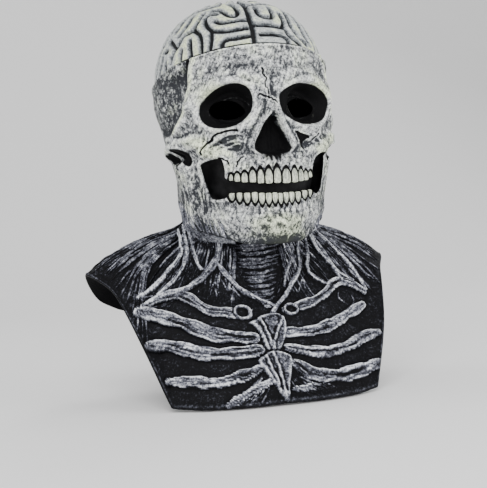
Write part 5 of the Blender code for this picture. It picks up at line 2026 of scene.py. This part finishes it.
@dataclass
class Cords:
    """Rounded cords laid on the bib: windpipe rings, strands and neck sinews."""

    bib: Bib
    head: HeadForm
    rings: int = 15
    top: float = -238.0
    foot: float = -304.0
    # level, left edge, right edge of the windpipe
    edges: tuple = ((-306.0, -3.0, 9.0), (-296.0, -12.0, 13.0), (-281.0, -18.0, 18.0),
                    (-261.0, -23.0, 24.0), (-238.0, -26.0, 29.0))

    def windpipe(self) -> list[tuple[Array, float]]:
        """Rings across the throat, each a sagging line."""
        out = []
        levels = [row[0] for row in self.edges]
        for n in range(self.rings):
            z = self.top + (self.foot - self.top) * n / (self.rings - 1)
            left, right = (float(curve(levels, [row[k] for row in self.edges], np.array([z]))[0])
                           for k in (1, 2))
            for part in range(2):
                share = np.linspace(0.0, 1.0, 22)
                x = left + (right - left) * share * (1.0 - 0.15 * part)
                sag = 2.0 * np.sin(np.pi * share) - 0.04 * (x - 2.0) + 0.9 * math.sin(1.9 * n)
                line = self.bib.lift(np.stack([x, z - sag - 1.6 * part], -1))
                line[:, 1] -= (1.8 - 0.7 * part) * np.sin(np.pi * share)
                out.append((line, 1.35 - 0.5 * part))
        return out

    def strands(self) -> list[tuple[Array, float]]:
        """Single strands and fans on the chest, neck and shoulders."""
        flat = [(smooth_line(line, 5), 1.05) for line in STRANDS]
        for n, fan in enumerate(FANS):
            flat += fan.lines(100 + n)
        out = []
        for line, width in flat:
            length = float(np.linalg.norm(np.diff(line, axis=0), axis=1).sum())
            even = evenly(line, max(int(length / 2.2), 6))
            lifted = self.bib.lift(even)
            lifted[:, 0], lifted[:, 2] = even[:, 0], even[:, 1]
            out.append((lifted, width))
        return out

    def yoke(self) -> list[tuple[Array, float]]:
        """Long sinews that fan out from the neck over the shoulders and the back."""
        rng = np.random.default_rng(70)
        out = []
        for side, first in ((-1.0, 92.0), (1.0, 84.0)):
            for angle in np.arange(first, 176.0, 2.1):
                reach = np.linspace(rng.uniform(0.14, 0.3), rng.uniform(0.8, 0.985), 26)
                drift = 1.6 * np.sin(reach * rng.uniform(4.0, 8.0) + rng.uniform(0.0, 6.0))
                start = 0.8 * angle + 0.2 * 130.0
                turn = start + (angle + rng.uniform(-1.5, 1.5) - start) * reach + drift
                line = self.bib.form.base(side * np.minimum(turn, 178.0), reach)
                out.append((line, rng.uniform(1.0, 1.9)))
        for n in range(7):
            reach = np.linspace(0.3, 0.985, 26)
            turn = 93.0 + 1.3 * n - (15.0 - 2.0 * n) * step(0.45, 1.0, reach)
            out.append((self.bib.form.base(-turn, reach), 1.2 + 0.2 * (n % 3)))
        return out

    def curtain(self) -> list[tuple[Array, float]]:
        """Sinews that run from the edge of the jaw down over the neck."""
        rng = np.random.default_rng(40)
        out = []
        for side in (-1.0, 1.0):
            for angle in np.arange(46.0, 150.0, 3.4):
                turn = math.radians(angle + rng.uniform(-1.2, 1.2)) * side
                low = float(curve([j[0] for j in self.head.jaw], [j[1] for j in self.head.jaw],
                                  np.array([abs(math.degrees(turn))]))[0])
                levels = low + np.array([18.0, 10.0, 3.0])
                jaw, away = self.head.base(np.full(3, turn), levels)
                jaw = jaw + away * (self.head.relief(jaw) + [0.1, 0.5, 0.3])[..., None]
                spoke = float(neck_spoke(jaw[2, 0], jaw[2, 1]))
                reach = np.linspace(0.16, rng.uniform(0.34, 0.62), 12)
                neck = self.bib.form.base(np.full(12, spoke), reach)
                line = np.concatenate([jaw, neck[neck[:, 2] < low - 4.0]])
                out.append((evenly(smooth_line(line, 3), 30), rng.uniform(0.9, 1.6)))
        return out

    def guide(self) -> bpy.types.Mesh:
        """Guide lines of all cords with their girth marks."""
        verts, edges, girth = [], [], []
        cords = self.windpipe() + self.strands() + self.yoke() + self.curtain()
        for n, (line, width) in enumerate(cords):
            share = np.linspace(0.0, 1.0, len(line))
            start = len(verts)
            verts += [tuple(p * MM) for p in line]
            edges += [(start + i, start + i + 1) for i in range(len(line) - 1)]
            girth += list(width * (0.25 + 0.75 * np.sin(np.pi * share) ** 0.45)
                          * (1.0 + 0.22 * np.sin(share * 11.0 + 2.1 * n)))
        mesh = bpy.data.meshes.new("cord_guide")
        mesh.from_pydata(verts, edges, [])
        layer = mesh.attributes.new("girth", "FLOAT", "POINT")
        layer.data.foreach_set("value", np.array(girth, np.float32))
        return mesh

    def brushed(self, mesh: bpy.types.Mesh) -> None:
        """Mark the outer side of the cords as brushed pale and their foot as dark."""
        surface = KDTree(self.bib.plain.size // 3)
        for n, point in enumerate(self.bib.plain.reshape(-1, 3)):
            surface.insert(point, n)
        surface.balance()
        place = np.empty(len(mesh.vertices) * 3, np.float32)
        mesh.vertices.foreach_get("co", place)
        place = place.reshape(-1, 3) / MM
        normals = self.bib.normal.reshape(-1, 3)
        lift = np.array([float((point - np.array(found[0])) @ normals[found[1]])
                         for point, found in ((p, surface.find(p)) for p in place)])
        dry = (-0.07 + 0.78 * step(0.0, 1.5, lift)
               + 0.26 * rough_noise(place, (3.0, 3.0, 6.0), 61, 2))
        throat = step(30.0, 26.0, np.abs(place[:, 0] - 2.0)) * (place[:, 1] < 0.0)
        dry -= 0.24 * throat * step(-236.0, -242.0, place[:, 2]) * step(-312.0, -302.0, place[:, 2])
        dry -= 0.15 * step(40.0, 62.0, np.abs(place[:, 0])) * step(-312.0, -298.0, place[:, 2])
        layer = mesh.attributes.new("dry", "FLOAT", "POINT")
        layer.data.foreach_set("value", dry.astype(np.float32))

    def make(self, paint: bpy.types.Material, maker: Repeater) -> None:
        """Build the cords and lay them on the neck and chest."""
        mesh = maker.grow(self.guide(), {"Thickness": MM, "Waviness": 3.0 * MM, "Grain": 140.0,
                                         "Material": paint})
        self.brushed(mesh)
        piece = finished("cast_cords", mesh)
        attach(piece, "root")
        log.info("cast_cords: %d faces", len(piece.data.polygons))


# Studio.

@dataclass
class Studio:
    """Pale floor with a raised back, soft lights and the camera."""

    floor: float = -0.4015
    eye_distance: float = 1.3
    azimuth: float = -18.0
    roll: float = -3.2
    focal_px: float = 1250.0
    sensor_mm: float = 36.0
    # size of the picture, and where the middle of the mask lies in it
    picture_px: tuple = (487.0, 488.0)
    middle_px: tuple = (245.5, 200.3)
    middle: tuple = (0.0, 0.0, -0.2)

    def camera(self) -> None:
        """Set the camera at the photograph's angle."""
        a, roll = math.radians(self.azimuth), math.radians(self.roll)
        back = Vector((math.sin(a), -math.cos(a), 0.0))
        level = Vector((math.cos(a), math.sin(a), 0.0))
        up = back.cross(level)
        right = math.cos(roll) * level + math.sin(roll) * up
        lift = -math.sin(roll) * level + math.cos(roll) * up
        eye = Vector(self.middle) + back * self.eye_distance
        du = (self.picture_px[0] / 2.0 - self.middle_px[0]) / self.focal_px
        dv = (self.middle_px[1] - self.picture_px[1] / 2.0) / self.focal_px
        away = (back - right * du - lift * dv).normalized()
        right = (right - away * right.dot(away)).normalized()
        lift = away.cross(right)
        data = bpy.data.cameras.new("Camera")
        data.sensor_width = self.sensor_mm
        data.sensor_fit = "HORIZONTAL"
        data.lens = self.focal_px * self.sensor_mm / self.picture_px[0]
        data.clip_start, data.clip_end = 0.05, 20.0
        camera = bpy.data.objects.new("Camera", data)
        camera.matrix_world = Matrix((
            (right.x, lift.x, away.x, eye.x), (right.y, lift.y, away.y, eye.y),
            (right.z, lift.z, away.z, eye.z), (0.0, 0.0, 0.0, 1.0)))
        bpy.context.scene.collection.objects.link(camera)
        bpy.context.scene.camera = camera

    def light(self, name: str, place: tuple[float, float, float], size: float,
              power: float) -> None:
        """Add one soft square light that looks at the mask."""
        data = bpy.data.lights.new(name, "AREA")
        data.size, data.energy = size, power
        lamp = bpy.data.objects.new(name, data)
        lamp.location = place
        look = Vector(place) - Vector(self.middle)
        lamp.rotation_mode = "QUATERNION"
        lamp.rotation_quaternion = look.to_track_quat("Z", "Y")
        bpy.context.scene.collection.objects.link(lamp)

    def ground(self) -> None:
        """Lay the pale floor, curved up at the back."""
        shape = bmesh.new()
        profile = [(-3.5, 0.0), (1.2, 0.0)]
        for n in range(1, 13):
            a = 0.5 * math.pi * n / 12
            profile.append((1.2 + 1.2 * math.sin(a), 1.2 * (1.0 - math.cos(a))))
        profile.append((2.4, 4.0))
        rows = [[shape.verts.new((x, y, self.floor + z)) for x in (-4.0, 4.0)] for y, z in profile]
        for a, b in zip(rows, rows[1:]):
            shape.faces.new((a[0], a[1], b[1], b[0]))
        mesh = bpy.data.meshes.new("floor")
        shape.to_mesh(mesh)
        shape.free()
        floor = finished("floor", mesh)
        s = Shader("FloorPaper")
        fine = s.noise(6.0, 2.0, 0.5)
        colour = s.mix(fine, (0.86, 0.86, 0.86), (0.88, 0.88, 0.88))
        floor.data.materials.append(s.finish(colour, 0.9, fine, 0.05))

    def make(self) -> None:
        """Set up camera, lights, floor and sky."""
        self.camera()
        self.ground()
        self.light("KeyLight", (-0.7, -1.7, 0.9), 1.3, 46.0)
        self.light("FillLight", (1.5, -1.5, 0.2), 1.5, 24.0)
        self.light("RimLight", (1.2, 1.2, 1.2), 1.0, 14.0)
        self.light("RimLightRight", (-1.6, 0.9, 0.6), 1.0, 10.0)
        world = bpy.data.worlds.new("Sky")
        bpy.context.scene.world = world
        world.use_nodes = True
        background = world.node_tree.nodes["Background"]
        background.inputs["Color"].default_value = (1.0, 1.0, 1.0, 1.0)
        background.inputs["Strength"].default_value = 0.6


def save_sizes() -> None:
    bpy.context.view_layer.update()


def main() -> None:
    """Build every piece of the mask in order."""
    logging.basicConfig(level=logging.INFO, format="%(message)s")
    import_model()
    Studio().make()
    head = HeadForm()
    bib = Bib(BibForm())
    sinew, tooth = SinewPaint().material(), ToothPaint().material()
    bib.make(sinew)
    Cords(bib, head).make(sinew, cord_repeater())
    Skull(head).make(BonePaint().material(), bib.collar)
    Brain(head).make(BrainPaint().material())
    rows = tooth_repeater()
    Teeth(head, Arch.UPPER).make(tooth, rows, "upper_teeth")
    Teeth(head, Arch.LOWER).make(tooth, rows, "lower_teeth")
    MouthLining(head).make(BlackLatex().material())
    save_sizes()


if __name__ == "__main__":
    main()
